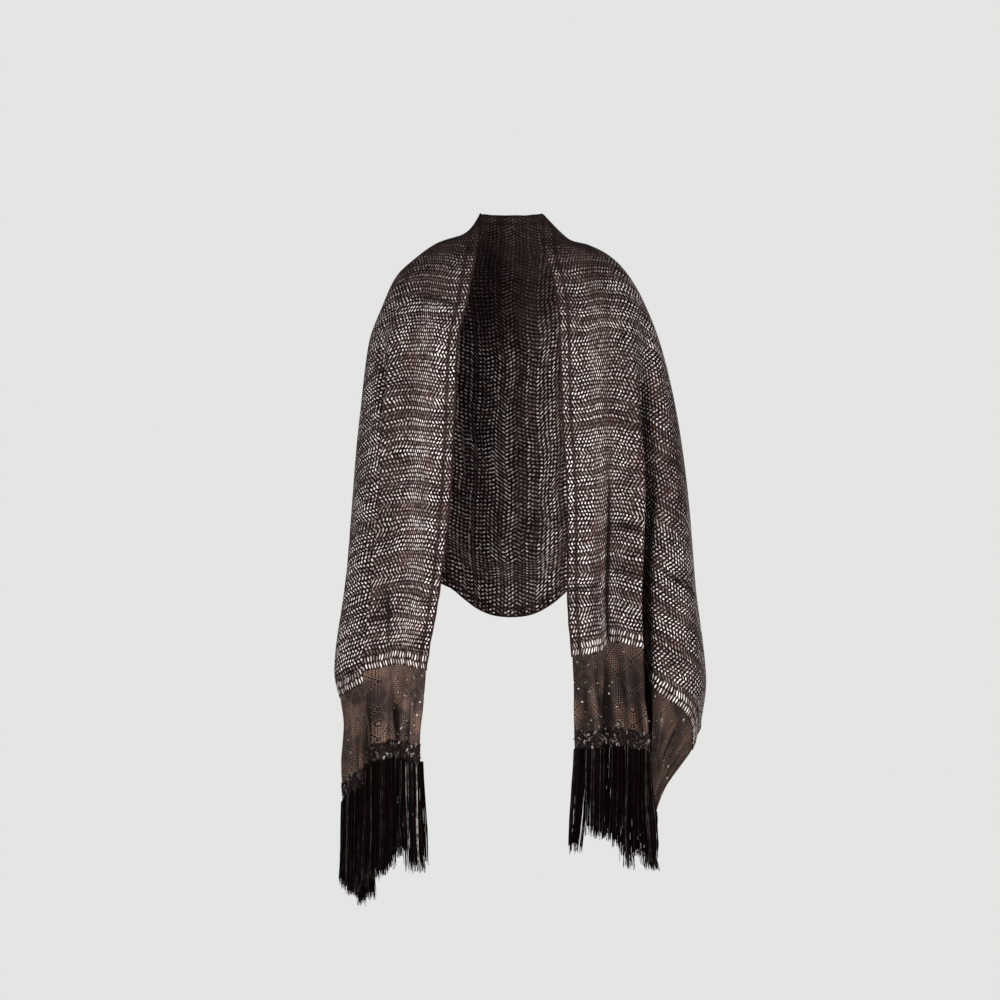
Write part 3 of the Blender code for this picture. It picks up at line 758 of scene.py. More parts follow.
def drawn_number(key, value, dimensions):
    """A number of its own for each value of the input that the key names."""
    kind = "ShaderNodeTexWhiteNoise"
    return add_node(value.tree, kind, {key: value}, noise_dimensions=dimensions)


def split(vector):
    return every_output(add_node(vector.tree, "ShaderNodeSeparateXYZ", {0: vector})).values()


def combine(x, y):
    return add_node(x.tree, "ShaderNodeCombineXYZ", {0: x, 1: y})


def vector_calc(operation, first, second):
    values = {0: first, 3 if operation == "SCALE" else 1: second}
    tree = tree_of((first, second))
    return add_node(tree, "ShaderNodeVectorMath", values, operation=operation)


def stored(tree, name):
    """A number that the mesh carries under this name."""
    return add_node(tree, "ShaderNodeAttribute", out="Fac", attribute_name=name)


def bump(height, strength, depth):
    values = {"Height": height, "Strength": strength, "Distance": depth}
    return add_node(height.tree, "ShaderNodeBump", values)


def use_group(tree, group, values):
    """Places a group in a material, and gives its outputs by name."""
    return every_output(add_node(tree, "ShaderNodeGroup", values, node_tree=group))


print("nodes for finishes are ready")

# %% Starting a finish, a group or a tree
SOCKETS = {type(None): "Vector", int: "Int", float: "Float", bpy.types.Material: "Material"}


def new_finish(name, settings):
    """A material, and the inputs of its shader; what is even all over is set on them."""
    finish = bpy.data.materials.new(name)
    finish.use_nodes = True
    shader = finish.node_tree.nodes["Principled BSDF"].inputs
    for title, value in settings.items():
        shader[title].default_value = value
    return finish, shader


def new_tree(kind, name, inputs, outputs=("Geometry",)):
    """A group of shader nodes or a tree of geometry nodes, with its named sockets."""
    tree = bpy.data.node_groups.new(name, kind + "NodeTree")
    new_socket = tree.interface.new_socket
    gives = "NodeSocketGeometry" if kind == "Geometry" else "NodeSocketFloat"
    if kind == "Geometry":
        tree.is_modifier = True
        new_socket(name="Geometry", in_out="INPUT", socket_type=gives)
    for title, value in inputs.items():
        takes = "NodeSocket" + SOCKETS[type(value)]
        socket = new_socket(name=title, in_out="INPUT", socket_type=takes)
        if value is not None:
            socket.default_value = value
    for title in outputs:
        new_socket(name=title, in_out="OUTPUT", socket_type=gives)
    given = every_output(add_node(tree, "NodeGroupInput"))
    return tree, given, tree.nodes.new("NodeGroupOutput").inputs


print("trees take", len(SOCKETS), "kinds of input")

# %% [markdown]
# ## The tied flecks
# Before weaving, the warp threads are tied in tight bundles and dyed. The tied places stay
# pale, and on the loom they become rows of small slanting dashes. The rows lean one way for
# one, two or three rows, and then the other, so the dashes stack into little zigzags. One
# group draws a field of flecks; the cloth uses it three times with different sizes.

# %% The zigzag of the rows
LEANS = (1, 1, -1, -1, 1, -1, -1, -1, 1, 1, 1, -1, 1, 1, -1, -1, 1, -1, 1, 1, -1, -1, -1, 1)


def zigzag(rows):
    """How far the columns have leaned after this many rows, in rows, from a drawn curve."""
    path = np.concatenate([[0], np.cumsum(LEANS)])
    low, span = path.min(), path.max() - path.min()
    values = {"Value": fract(rows / len(LEANS))}
    lean = add_node(rows.tree, "ShaderNodeFloatCurve", values)
    mapping = lean.socket.node.mapping
    points = mapping.curves[0].points
    for i, height in enumerate(path):
        spot = (i / len(LEANS), (height - low) / span)
        if 0 < i < len(LEANS):
            point = points.new(*spot)
        else:
            point = points[0 if i == 0 else -1]
            point.location = spot
        point.handle_type = "VECTOR"
    mapping.update()
    return lean * float(span)


def jitter(spot, seed, size):
    """A number of its own for each fleck, from minus size to size."""
    where = vector_calc("ADD", spot, (seed, seed, 0.0))
    return (drawn_number("Vector", where, "2D") - 0.5) * (2 * size)


print("the zigzag repeats after", len(LEANS), "rows")

# %% The group that draws flecks
WANDER_SCALE, TURN_SCALE, DOT_SCALE = 12.0, 15.0, 19.0  # of noises; the larger, the finer
ZONE_SCALE, LANE_SCALE, LANE_STRETCH = 27.0, 44.0, 0.12
SWING = 5.0  # rows by which a zigzag may slip past its neighbours
DOT_BY_ROW, DOTTED = 0.30, (0.48, 0.62)
DOT_SHORTER, DOT_WIDER = -0.36, 0.16
# How pale a fleck is by its own draw, by its row, its zone and its lane along the warp. The
# first two numbers are a range of what is drawn, and the last two the tones it leads to.
OWN_TONE, ROW_TONE = (-0.10, 0.65, 0.36, 1.0), (0.10, 0.42, 0.44, 1.0)
ZONE_TONE, LANE_TONE = (0.34, 0.56, 0.76, 1.0), (0.36, 0.56, 0.80, 1.0)


def fleck_group():
    inputs = {"Place": None, "Row": 0.0058, "Column": 0.0051, "Lean": 0.58, "Length": 0.92}
    inputs.update({"Width": 0.36, "Blur": 0.22, "Wander": 0.020, "Dots": 1.0, "Uneven": 1.0})
    tree, given, result = new_tree("Shader", "tied flecks", inputs, ("Fleck",))
    place, blur = given["Place"], given["Blur"]
    u, v, _ = split(place)
    u = (noise(place, WANDER_SCALE) - 0.5) * given["Wander"] + u
    rows = u / given["Row"]
    row, in_row = whole(rows), fract(rows)
    turn = row + noise(place, TURN_SCALE, detail=1.0) * SWING
    lean = zigzag(turn + 1.0) - zigzag(turn)
    leaned = lean * (in_row - 0.5) * (given["Lean"] * given["Row"])
    columns = row * 0.5 + (v + leaned) / given["Column"]
    spot = combine(row, whole(columns))
    by_row = drawn_number("W", row, "1D")
    dotted = by_row * DOT_BY_ROW + noise(place, DOT_SCALE, detail=1.0)
    dotted = remap(dotted, *DOTTED) * given["Dots"]
    length = given["Length"] * (dotted * DOT_SHORTER + 1.0) + jitter(spot, seed=17.0, size=0.14)
    width = given["Width"] * (dotted * DOT_WIDER + 1.0)
    aside = (fract(columns) + jitter(spot, seed=5.0, size=0.08) - 0.5) / width
    along = (in_row + jitter(spot, seed=31.0, size=0.11) - 0.5) / length
    mark = remap(distance(aside, along) * 2.0, 1.0 + blur, 1.0 - blur)
    tone = remap(jitter(spot, seed=3.0, size=0.5) + 0.5, *OWN_TONE)
    row_tone = (remap(by_row, *ROW_TONE) - 1.0) * given["Uneven"] + 1.0
    zone_tone = remap(noise(place, ZONE_SCALE, detail=1.0), *ZONE_TONE)
    lane = combine(u * LANE_STRETCH, v)
    lane_tone = remap(noise(lane, LANE_SCALE, detail=1.0), *LANE_TONE)
    feed(result["Fleck"], mark * tone * row_tone * zone_tone * lane_tone)
    return tree


FLECKS = fleck_group()
print("the group", FLECKS.name, "has", len(FLECKS.nodes), "nodes")

# %% The group that draws the weave
def weave_group():
    """The over and under of plain weave, as a height."""
    inputs = {"Place": None, "Pitch": 0.0009}
    tree, given, result = new_tree("Shader", "plain weave", inputs, ("Height",))
    u, v, _ = split(given["Place"])
    warp, weft = (calc("SINE", x / given["Pitch"] * math.pi) for x in (v, u))
    feed(result["Height"], warp * weft * 0.5 + 0.5)
    return tree


WEAVE = weave_group()
print("the group", WEAVE.name, "has", len(WEAVE.nodes), "nodes")

# %% [markdown]
# ## The finish of the woven cloth
# Three fields of flecks meet in it: the main one, a finer and greyer one in narrow stripes
# that run the length of the shawl, and two rows of long bright dashes at each end. The edges
# have a plain dark selvedge. The ground is a warm near-black with slow changes in its dye.

# %% Where the fields of flecks lie
STRIPES = (0.070, 0.575)  # the middles of the fine stripes, from the neck edge
STRIPE_WIDTH, STRIPE_BLUR, STRIPE_TONE = 0.026, 0.010, 0.84
END_ROWS, END_BLUR = 0.021, 0.0006
PAINTED_SHOULDER_SHADE = (0.13, 0.27, 0.28, 1.0)  # painted shade over the shoulders and the back of the neck: from the collar out, and the tones
SLOW_DYE_SCALE, SLOW_DYE = 9.0, (0.25, 0.75, 0.82, 1.0)
WIDER_FROM, WIDER = 0.11, 0.80  # past this the flecks are set wider apart
FINE = {"Row": 0.0058, "Column": 0.0034, "Lean": 0.30, "Length": 0.84, "Width": 0.38, "Dots": 0.4}
BRIGHT = {"Row": END_ROWS / 2, "Column": 0.0043, "Lean": 0.30, "Length": 0.86, "Width": 0.44}
BRIGHT.update({"Wander": 0.0, "Dots": 0.0, "Uneven": 0.0})
SELVEDGE = (0.0020, 0.0045, 0.1, 1.0)
CORD, CORD_TONE = (0.0145, 0.005, 0.001), -0.8  # a plain cord in from each edge
# Patches where the flecks are set paler or darker: along, across, length, width and change of
# the flecks there. The third is painted light on the outer left arm, where the lamps fall off
# at a grazing angle; the seventh is painted shade over the right front and arm.
PAINTED_LIGHT_AND_TONE_PATCHES = (
    (0.28, 0.035, 0.50, 0.055, +0.28),
    (0.25, 0.125, 0.44, 0.080, -0.25),
    (0.25, 0.270, 0.44, 0.160, +0.30),
    (0.60, 0.085, 0.06, 0.090, -0.28),
    (0.965, 0.040, 0.12, 0.090, -0.32),
    (1.235, 0.040, 0.13, 0.030, +0.28),
    (1.29, 0.235, 0.240, 0.280, -0.25),
    (1.45, 0.008, 0.22, 0.045, +0.42),
)
PATCH_BLUR = (0.04, 0.025)  # along and across


def band_mask(value, middle, width, blur):
    return remap(abs(value - middle), width / 2 + blur, width / 2 - blur)


def fleck_value(place, flat):
    """How pale the cloth is at each place, from its three fields of flecks, with painted light and
    shade over them.
    """
    u, v, _ = split(place)
    flat_u, flat_v, _ = split(flat)
    place = combine(u, larger(v - WIDER_FROM, 0.0) * (WIDER - 1) + v)
    main, fine, bright = (
        use_group(place.tree, FLECKS, {"Place": place, **sizes})["Fleck"]
        for sizes in ({}, FINE, BRIGHT)
    )
    in_stripe = larger(*(band_mask(v, middle, STRIPE_WIDTH, STRIPE_BLUR) for middle in STRIPES))
    value = blend(in_stripe, main, fine * STRIPE_TONE, "FLOAT")
    to_end = smaller(flat_u, UNFOLDED - flat_u)
    value = blend(remap(to_end, END_ROWS + END_BLUR, END_ROWS - END_BLUR), value, bright, "FLOAT")
    to_edge = smaller(flat_v, CLOTH_WIDTH - flat_v)
    value *= remap(to_edge, *SELVEDGE) * (band_mask(to_edge, *CORD) * CORD_TONE + 1.0)
    value *= remap(noise(place, SLOW_DYE_SCALE, detail=3.0), *SLOW_DYE)
    # the third patch is painted light and the seventh painted shade
    for along, across, length, width, change in PAINTED_LIGHT_AND_TONE_PATCHES:
        lengthways = band_mask(flat_u, along, length, PATCH_BLUR[0])
        mask = lengthways * band_mask(flat_v, across, width, PATCH_BLUR[1])
        value *= mask * change + 1.0
    # painted shade over the shoulders and the back of the neck, fading out away from the collar
    from_collar = larger(abs(flat_u - CLOTH_END["left"]), flat_v)
    return value * remap(from_collar, *PAINTED_SHOULDER_SHADE)


# two of these patches are painted light and shade
print(len(STRIPES), "fine stripes and", len(PAINTED_LIGHT_AND_TONE_PATCHES), "uneven places in the dye")

# %% The woven finish
GROUND = ((0.0080, 0.0044, 0.0041, 1), (0.0225, 0.0134, 0.0122, 1))
# the dark colour of the painted shade in the bottoms of sharp creases
CREASE_SHADE_COLOUR = (0.004, 0.0024, 0.0022, 1)
FAINT = (0.50, 0.34, 0.30, 1)
FLECK = ((0.88, 0.765, 0.735, 1), (0.95, 0.865, 0.835, 1))
CLOTH_SHEEN = {"Sheen Roughness": 0.45, "Specular IOR Level": 0.04}
GROUND_SCALE, GROUND_PATCHES, PALE_SCALE = 30.0, (0.3, 0.7), 55.0
FAINT_TO_PALE = (0.05, 0.80)
CREASE_SHADE_ON_FLECKS, CREASE_SHADE_ON_GROUND = -0.94, 0.55  # painted shade at the bottom of a sharp crease: how much it darkens the flecks and the ground
THREAD_HEIGHT = 0.0003


def woven_finish():
    sheen = {"Roughness": 0.9, "Sheen Weight": 0.006, **CLOTH_SHEEN}
    finish, shader = new_finish("ikat weave", sheen)
    tree = finish.node_tree
    place, flat = (add_node(tree, "ShaderNodeUVMap", uv_map=m) for m in (CUT_MAP, FLAT_MAP))
    value = fleck_value(place, flat)
    ground = blend(remap(noise(place, GROUND_SCALE), *GROUND_PATCHES), *GROUND)
    pale = blend(noise(place, PALE_SCALE), *FLECK)
    pale = blend(remap(value, *FAINT_TO_PALE), FAINT, pale)
    # painted shade: the bottoms of the sharp creases are darkened, flecks and ground alike
    painted_shade = stored(tree, "painted_shade")
    value *= painted_shade * CREASE_SHADE_ON_FLECKS + 1.0
    ground = blend(painted_shade * CREASE_SHADE_ON_GROUND, ground, CREASE_SHADE_COLOUR)
    feed(shader["Base Color"], blend(value, ground, pale))
    weave = use_group(tree, WEAVE, {"Place": place})["Height"]
    feed(shader["Normal"], bump(value * 0.5 + weave, strength=0.5, depth=THREAD_HEIGHT))
    return finish


CLOTH_THICKNESS = 0.0012
cloth = place_piece("woven_cloth", cloth_mesh, woven_finish())
triangles = give_thickness(cloth, CLOTH_THICKNESS)
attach(cloth, "root")
fronts_and_arms = [f"cloth_{part}_{side}" for part in ("arm", "front") for side in SIGN]
cloth_nodes = ["cloth_back", *fronts_and_arms]
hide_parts(*cloth_nodes)
print("woven cloth:", triangles, "triangles")

# %% [markdown]
# ## The lace bands
# A band of dark net is sewn to each woven end. It is soft and thin, so it hangs in the same
# folds as the cloth with some extra ripples of its own. It could be cut out of the mesh, but
# thousands of holes would cost far too many faces, so the holes are left to its finish.

# %% The folds of the lace
TURN_FROM = CLOTH_WIDTH - 0.20


def band_place(side, start, past):
    """Where a line that leaves the woven end at start has come to, this far past the end."""
    reach = CLOTH_END[side] - SHOULDER_ALONG
    fanned = np.maximum(start - SHOULDER_ACROSS, 0) / reach
    kept = 1 - np.clip((start - TURN_FROM) / (CLOTH_WIDTH - TURN_FROM), 0, 1)
    return CLOTH_END[side] + past, start + fanned * kept * past


LACE_FOLD = "start width depth slant"
LACE_FOLDS = {
    "left": rows_of(
        LACE_FOLD,
        (0.030, 0.0060, -0.0030, 0.05),
        (0.074, 0.0046, -0.0075, -0.16),
        (0.099, 0.0060, -0.0085, 0.06),
        (0.136, 0.0055, -0.0040, -0.05),
        (0.210, 0.0080, -0.0060, 0.04),
        (0.262, 0.0060, +0.0050, -0.06),
        (0.318, 0.0070, -0.0065, 0.08),
        (0.352, 0.0050, -0.0048, -0.04),
        (0.398, 0.0075, +0.0058, 0.05),
        (0.447, 0.0065, -0.0070, -0.08),
        (0.500, 0.0080, +0.0060, 0.04),
        (0.546, 0.0060, -0.0062, 0.03),
        (0.598, 0.0070, +0.0050, -0.05),
    ),
    "right": rows_of(
        LACE_FOLD,
        (0.022, 0.0050, -0.0032, -0.06),
        (0.060, 0.0048, -0.0085, -0.03),
        (0.092, 0.0060, -0.0034, 0.10),
        (0.128, 0.0060, -0.0052, 0.05),
        (0.188, 0.0075, -0.0062, -0.04),
        (0.236, 0.0060, +0.0056, 0.06),
        (0.281, 0.0065, -0.0068, 0.04),
        (0.330, 0.0070, +0.0060, -0.07),
        (0.377, 0.0060, -0.0070, 0.05),
        (0.421, 0.0080, -0.0058, -0.06),
        (0.478, 0.0070, +0.0058, 0.04),
        (0.527, 0.0060, -0.0066, 0.07),
        (0.583, 0.0080, +0.0052, -0.04),
    ),
}
print({side: len(rows) for side, rows in LACE_FOLDS.items()}, "folds in the lace")

# %% The ripples of the lace
RIPPLE_PHASE = {"left": 0.6, "right": 2.3}
WIDE_RIPPLE, WIDE_WAVES, BEND_OF_WAVES, BENDS = 0.0020, 178, 1.4, 38
NARROW_RIPPLE, NARROW_WAVES, SLANT_OF_WAVES = 0.0011, 331, 22
GROWTH, GROWTH_POWER = 0.62, 1.1  # how the ripple grows down the band
# painted shade on the net: how deep a fold must be for the shade to be full, and how much is
# painted over the whole of each band, more on the right
LACE_FULL_SHADE = 0.0070
LACE_BAND_SHADE = {"left": 0.0, "right": 0.46}


def lace_ripple(side, start, past):
    """How far the net stands out of the drape: its own waves and folds."""
    phase = RIPPLE_PHASE[side]
    share = np.clip(past / LACE_LENGTH, 0, 1)
    grown = np.sin(share * math.pi * GROWTH) ** GROWTH_POWER
    bend = BEND_OF_WAVES * np.sin(past * BENDS)
    wide = WIDE_RIPPLE * np.sin(start * WIDE_WAVES + phase + bend)
    narrow = np.sin(start * NARROW_WAVES + 2.1 * phase - past * SLANT_OF_WAVES)
    total = wide + NARROW_RIPPLE * narrow * (0.5 + share)
    for fold in LACE_FOLDS[side]:
        off = (start - fold.start - fold.slant * past) / fold.width
        total = total + fold.depth * np.exp(-off * off)
    return grown * total


def lace_painted_shade(side, start, past):
    """Painted shade on the net, from 0 to 1: darker deeper in a fold, and darker all over the
    right band.
    """
    depth = -lace_ripple(side, start, past) / LACE_FULL_SHADE
    return np.clip(LACE_BAND_SHADE[side] + depth, 0, 1)


def band_surface(side, start, past):
    """A place past the woven end, and the way out of the band there."""
    step = 0.002
    here = worn(side, *band_place(side, start, past))
    beside = worn(side, *band_place(side, start + step, past))
    below = worn(side, *band_place(side, start, past + step))
    normal = np.cross(below - here, beside - here) * SIGN[side]
    normal /= np.maximum(np.linalg.norm(normal, axis=-1, keepdims=True), 1e-12)
    return here, normal


def on_band(side, start, past, lift):
    """A place on the rippled band, lifted out of it by a little."""
    here, normal = band_surface(side, start, past)
    return here + normal * (lace_ripple(side, start, past) + lift)[..., None]


print("the lace ripples by", WIDE_RIPPLE + NARROW_RIPPLE, "m between its folds")

# %% The sheets of lace
LACE_UNDERLAP = 0.004  # how far the net reaches up behind the woven end
CLOSE_NET = 0.031  # the closely worked edge that backs the knots
LACE_GRID = (50, 260)
LACE_INSET = 0.0015
BEHIND, BEHIND_FADES = -0.0013, 0.008  # how far the net lies behind the woven end


def lace_sheet(side):
    starts = np.linspace(LACE_INSET, CLOTH_WIDTH - LACE_INSET, LACE_GRID[1])
    pasts = np.linspace(-LACE_UNDERLAP, LACE_LENGTH + CLOSE_NET, LACE_GRID[0])
    past, start = np.meshgrid(pasts, starts, indexing="ij")
    behind = BEHIND * np.exp(-np.maximum(past, 0) / BEHIND_FADES)
    points = on_band(side, start, past, behind)
    # painted shade on the net, kept on the mesh for the finish
    places, net_shades = np.stack([past, start], axis=-1), lace_painted_shade(side, start, past)
    if side == "left":
        points, places, net_shades = points[:, ::-1], places[:, ::-1], net_shades[:, ::-1]
    mesh = sheet_mesh("lace " + side, points, {CUT_MAP: places})
    store(mesh, "painted_shade", "FLOAT", net_shades)
    return mesh


lace_meshes = {side: lace_sheet(side) for side in SIGN}
print("each lace band has", len(lace_meshes["left"].polygons), "faces")

# %% [markdown]
# ## The finish of the lace
# The net has a fine square mesh. Lines of larger eyelets cross it in diamonds, and some
# diamonds hold a small ring of eyelets. In places the net is worked more closely. Holes are
# cut with the alpha of the shader, so light and the far layers show through them. Only some
# of the eyelets are clear; the rest are felted shut, and show as dark spots.

# %% The net, its lines and its rings
MESH_ROW, MESH_COLUMN = 0.0034, 0.0026
DIAMOND = 0.038
EYELET, EYELET_STEP = 0.0019, 0.0046
RING, RING_EYELETS = 0.0050, 9
CELL_SIDES = (0.50, 0.22)  # from the middle of a cell, where it ends and where it is full
HOLE_BLUR, EYELET_BLUR, RING_BLUR = 0.05, 0.0002, 0.0004
LINE_SIDES = (0.0032, 0.0020)  # the same for a line
DISC_SIDES = (RING + 0.003, RING + 0.002)  # and for a disc


def centred(value):
    """How far a place lies past the middle of its repeat, from -0.5 to 0.5."""
    return fract(value) - 0.5


def small_net(u, v, hole):
    """The inside of each mesh of the net, and the hole left in it."""
    off = distance(centred(u / MESH_ROW), centred(v / MESH_COLUMN))
    return remap(off, *CELL_SIDES), remap(off, hole + HOLE_BLUR, hole - HOLE_BLUR)


def dotted_lines(spot):
    """The lines along the sides of the diamonds, and the eyelets on them."""
    lines, dots = [], []
    for this, other in (spot, spot[::-1]):
        edge = (0.5 - abs(this)) * DIAMOND
        beside = centred(other * (DIAMOND / EYELET_STEP)) * EYELET_STEP
        away = distance(edge, beside)
        lines.append(remap(edge, *LINE_SIDES))
        dots.append(remap(away, EYELET + EYELET_BLUR, EYELET - EYELET_BLUR))
    return larger(*lines), larger(*dots)


def ring_of_eyelets(spot, ringed):
    """A ring of eyelets in the middle of a diamond, and the solid disc that holds it."""
    reach = [x * DIAMOND for x in spot]
    radius, turn = distance(*reach), 2 * math.pi / RING_EYELETS
    arc = centred(calc("ARCTAN2", *reach) * (1 / turn)) * (RING * turn)
    eyelets = remap(distance(arc, radius - RING), EYELET, EYELET - RING_BLUR)
    return eyelets * ringed, remap(radius, *DISC_SIDES) * ringed


print("a diamond is", DIAMOND, "m wide and a ring has", RING_EYELETS, "eyelets")

# %% The lace finish
NET_DARK, NET_WARM = (0.048, 0.0335, 0.0290, 1), (0.235, 0.146, 0.110, 1)
NET_LINE = (0.170, 0.118, 0.096, 1)
# the eyelet colour is also the colour of the painted shade on the net
NET_THREAD, NET_EYELET_AND_SHADE = (0.0240, 0.0150, 0.0130, 1), (0.0050, 0.0030, 0.0025, 1)
STEEPNESS = 1.35
HOLE, CLOSE_WORK = 0.09, -0.10  # the holes of the net, and what close work takes off them
DRIFT_SCALE, DRIFT_ALONG, DRIFT_ACROSS = 22.0, 0.006, -0.004
CLOSELY_WORKED, RINGED = (0.45, 0.55), 0.55  # by the number that each diamond draws
CLEAR_SCALE, CLEAR = 170.0, (0.70, 0.74)  # the few eyelets that are open
WARM_SCALE, WARM = 16.0, (0.40, 0.64)
BAND_END = (LACE_LENGTH + 0.002, LACE_LENGTH - 0.002)  # past it the net is closed
NET_HEIGHT = 0.0005


def lace_group():
    """How open the net is, how much of it is eyelet, thread and closely worked."""
    outputs = ("Open", "Eyelet", "Cell", "Line")
    tree, given, result = new_tree("Shader", "net and eyelets", {"Place": None}, outputs)
    place = given["Place"]
    past, across, _ = split(place)
    drift = noise(place, DRIFT_SCALE, detail=1.0) - 0.5
    u, v = drift * DRIFT_ALONG + past, drift * DRIFT_ACROSS + across
    fall = u / STEEPNESS
    slants = ((fall + v) / DIAMOND, (fall - v) / DIAMOND)
    drawn = drawn_number("Vector", combine(*map(whole, slants)), "2D")
    inside, net = small_net(u, v, remap(drawn, *CLOSELY_WORKED) * CLOSE_WORK + HOLE)
    spot = [centred(slant) for slant in slants]
    lines, dots = dotted_lines(spot)
    rings, disc = ring_of_eyelets(spot, calc("GREATER_THAN", drawn, RINGED))
    above = remap(past, *BAND_END)
    solid, eyelet = larger(lines, disc), larger(dots, rings) * above
    clear = remap(noise(place, CLEAR_SCALE, detail=0.0), *CLEAR)
    opened = larger(net * (1.0 - solid), eyelet * clear)
    for title, value in zip(outputs, (opened * above, eyelet, inside * above, solid * above)):
        feed(result[title], value)
    return tree


def lace_finish():
    look = {"Roughness": 0.8, "Sheen Weight": 0.01, **CLOTH_SHEEN}
    finish, shader = new_finish("dark lace", look)
    place = add_node(finish.node_tree, "ShaderNodeUVMap", uv_map=CUT_MAP)
    drawn = use_group(place.tree, lace_group(), {"Place": place})
    warm = remap(noise(place, WARM_SCALE, detail=3.0), *WARM)
    filled = blend(drawn["Line"] * 0.6, blend(warm, NET_DARK, NET_WARM), NET_LINE)
    net = blend(larger(drawn["Cell"], drawn["Line"]), NET_THREAD, filled)
    # painted shade: in the lace's folds and over the right band the net is taken towards the dark
    # eyelet colour
    net = blend(stored(place.tree, "painted_shade") * 0.92, net, NET_EYELET_AND_SHADE)
    feed(shader["Base Color"], blend(drawn["Eyelet"], net, NET_EYELET_AND_SHADE))
    feed(shader["Alpha"], 1.0 - drawn["Open"])
    height = drawn["Line"] - drawn["Cell"] - drawn["Eyelet"]
    feed(shader["Normal"], bump(height, strength=0.6, depth=NET_HEIGHT))
    return finish


LACE_THICKNESS = 0.0006
lace_look = lace_finish()
laces = {}
for side, mesh in lace_meshes.items():
    laces[side] = place_piece("lace_" + side, mesh, lace_look)
    triangles = give_thickness(laces[side], LACE_THICKNESS)
    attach(laces[side], "root")
    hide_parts("lace_arm_" + side, "lace_front_" + side)
    print("lace", side, triangles, "triangles")

# %% [markdown]
# ## Knots and fringe
# Under the lace the loose warp ends are tied into rows of small knots (macrame), each row
# half a step from the last, and then left to hang as a fringe. Both repeat hundreds of
# times, so Geometry Nodes make them. Python only lays out where the knots sit and how each
# tassel falls, as a light wire of points; the nodes turn the wire into cord and yarn.

# %% Where the knots are
KNOT_BAND, KNOT_PITCH = 0.026, 0.0044
KNOT_ROWS, KNOT_STEP = 7, 0.0046
KNOTS_FROM = LACE_LENGTH + 0.001
EDGE_GAP, LEAST_GAP = 0.003, 0.002  # from the selvedges to the first and the last knot
KNOT_LIFT, KNOT_SCATTER = (0.0004, 0.0018), 0.0007  # how far they stand out of their row
KNOT_SEED = {"left": 21, "right": 22}
HANG_STEP = 0.004  # the way a knot hangs is read over this length


def even_starts(side, past, pitch):
    """Starts of lines that are evenly spaced in the air at this distance past the end."""
    starts = np.linspace(EDGE_GAP, CLOTH_WIDTH - EDGE_GAP, 900)
    run = lengths_along(worn(side, *band_place(side, starts, past)))
    return np.interp(np.linspace(0, run[-1], int(run[-1] / pitch)), run, starts)


def wire_mesh(name, points, edges, title, kind, values):
    """A mesh of points and edges alone, with one value of its own on each point."""
    mesh = bpy.data.meshes.new(name)
    mesh.from_pydata(np.asarray(points).tolist(), edges, [])
    store(mesh, title, kind, values)
    return mesh


def cords_between(row, count):
    """Edges from a row of knots up to the row above, each knot to two of them."""
    this, above = row * count, (row - 1) * count
    other = 1 if row % 2 else -1
    edges = []
    for i in range(count):
        edges.append((above + i, this + i))
        if 0 <= i + other < count:
            edges.append((above + i + other, this + i))
    return edges


def knot_wire(side):
    """A point for every knot, with the way it hangs, and an edge for every cord."""
    starts = even_starts(side, LACE_LENGTH + KNOT_BAND, KNOT_PITCH)
    half = np.diff(starts).mean() / 2
    points, hang, edges = [], [], []
    draw = np.random.default_rng(KNOT_SEED[side])
    for row in range(KNOT_ROWS):
        shifted = np.clip(starts + half * (row % 2), LEAST_GAP, CLOTH_WIDTH - LEAST_GAP)
        past = KNOTS_FROM + row * KNOT_STEP + draw.normal(0, KNOT_SCATTER, len(starts))
        lift = draw.uniform(*KNOT_LIFT, len(starts))
        here = on_band(side, shifted, past, lift)
        points += list(here)
        hang += list(on_band(side, shifted, past + HANG_STEP, lift) - here)
        edges += cords_between(row, len(starts)) if row else []
    return wire_mesh("knot wire " + side, points, edges, "hang", "FLOAT_VECTOR", hang)


knot_wires = {side: knot_wire(side) for side in SIGN}
print({side: len(wire.vertices) for side, wire in knot_wires.items()}, "knots")

# %% The lengths of the fringe
FRINGE_LENGTH = {  # pairs of a start and the length of the fringe there
    "left": smooth_pairs(
        (0, 0.154), (0.03, 0.157), (0.05, 0.148), (0.060, 0.148), (0.073, 0.152),
        (0.086, 0.184), (0.105, 0.182), (0.13, 0.148), (0.25, 0.140), (0.31, 0.150),
        (0.36, 0.142), (0.42, 0.112), (CLOTH_WIDTH, 0.094),
    ),
    "right": smooth_pairs(
        (0, 0.160), (0.017, 0.162), (0.024, 0.124), (0.040, 0.140), (0.065, 0.152),
        (0.085, 0.172), (0.10, 0.182), (0.120, 0.176), (0.16, 0.110), (0.25, 0.078),
        (CLOTH_WIDTH, 0.052),
    ),
}
FRONT_SEAM_STATION = {"left": 1.952, "right": 1.912}


def seam_start(side):
    """How far from the neck edge the front stretch of an end meets the arm stretch."""
    turned = math.tan((2 - FRONT_SEAM_STATION[side]) * math.pi / 2)
    return SHOULDER_ACROSS + (CLOTH_END[side] - SHOULDER_ALONG) * turned


print("front meets arm at", {side: round(seam_start(side), 3) for side in SIGN})

# %% The fall of the tassels
TASSEL_PITCH, TASSEL_POINTS = 0.0050, 7
TASSEL_SEED = {"left": 31, "right": 34}
CLUMP = 7  # tassels that cling together
CLUMP_LENGTHS, TASSEL_LENGTHS = (0.92, 1.08), (0.95, 1.05)
CLUMP_PULL = np.array([0.09, 0.15, 0])
FRINGE_SPREAD, WIDEST_LEAN = {"left": 0.14, "right": 0.16}, 0.011
ARM_LEAN = 0.3  # the share of that lean round the arm
FRINGE_PARTED = {"left": -1.0, "right": 0.021}  # the fringe hangs apart here
PARTING, PARTED_WIDTH = 0.006, 0.012
BEND, SWAYS, LEAN_CURVE = 0.0030, 4.0, 1.4
ROOT_LIFT = 0.0006
GLINT_TASSELS = {"left": (0.004, 0.036), "right": (0.0, 0.0)}  # painted highlights on a few yarns there
STRAY_GLINT = 0.12  # and the most painted highlight that any other tassel has
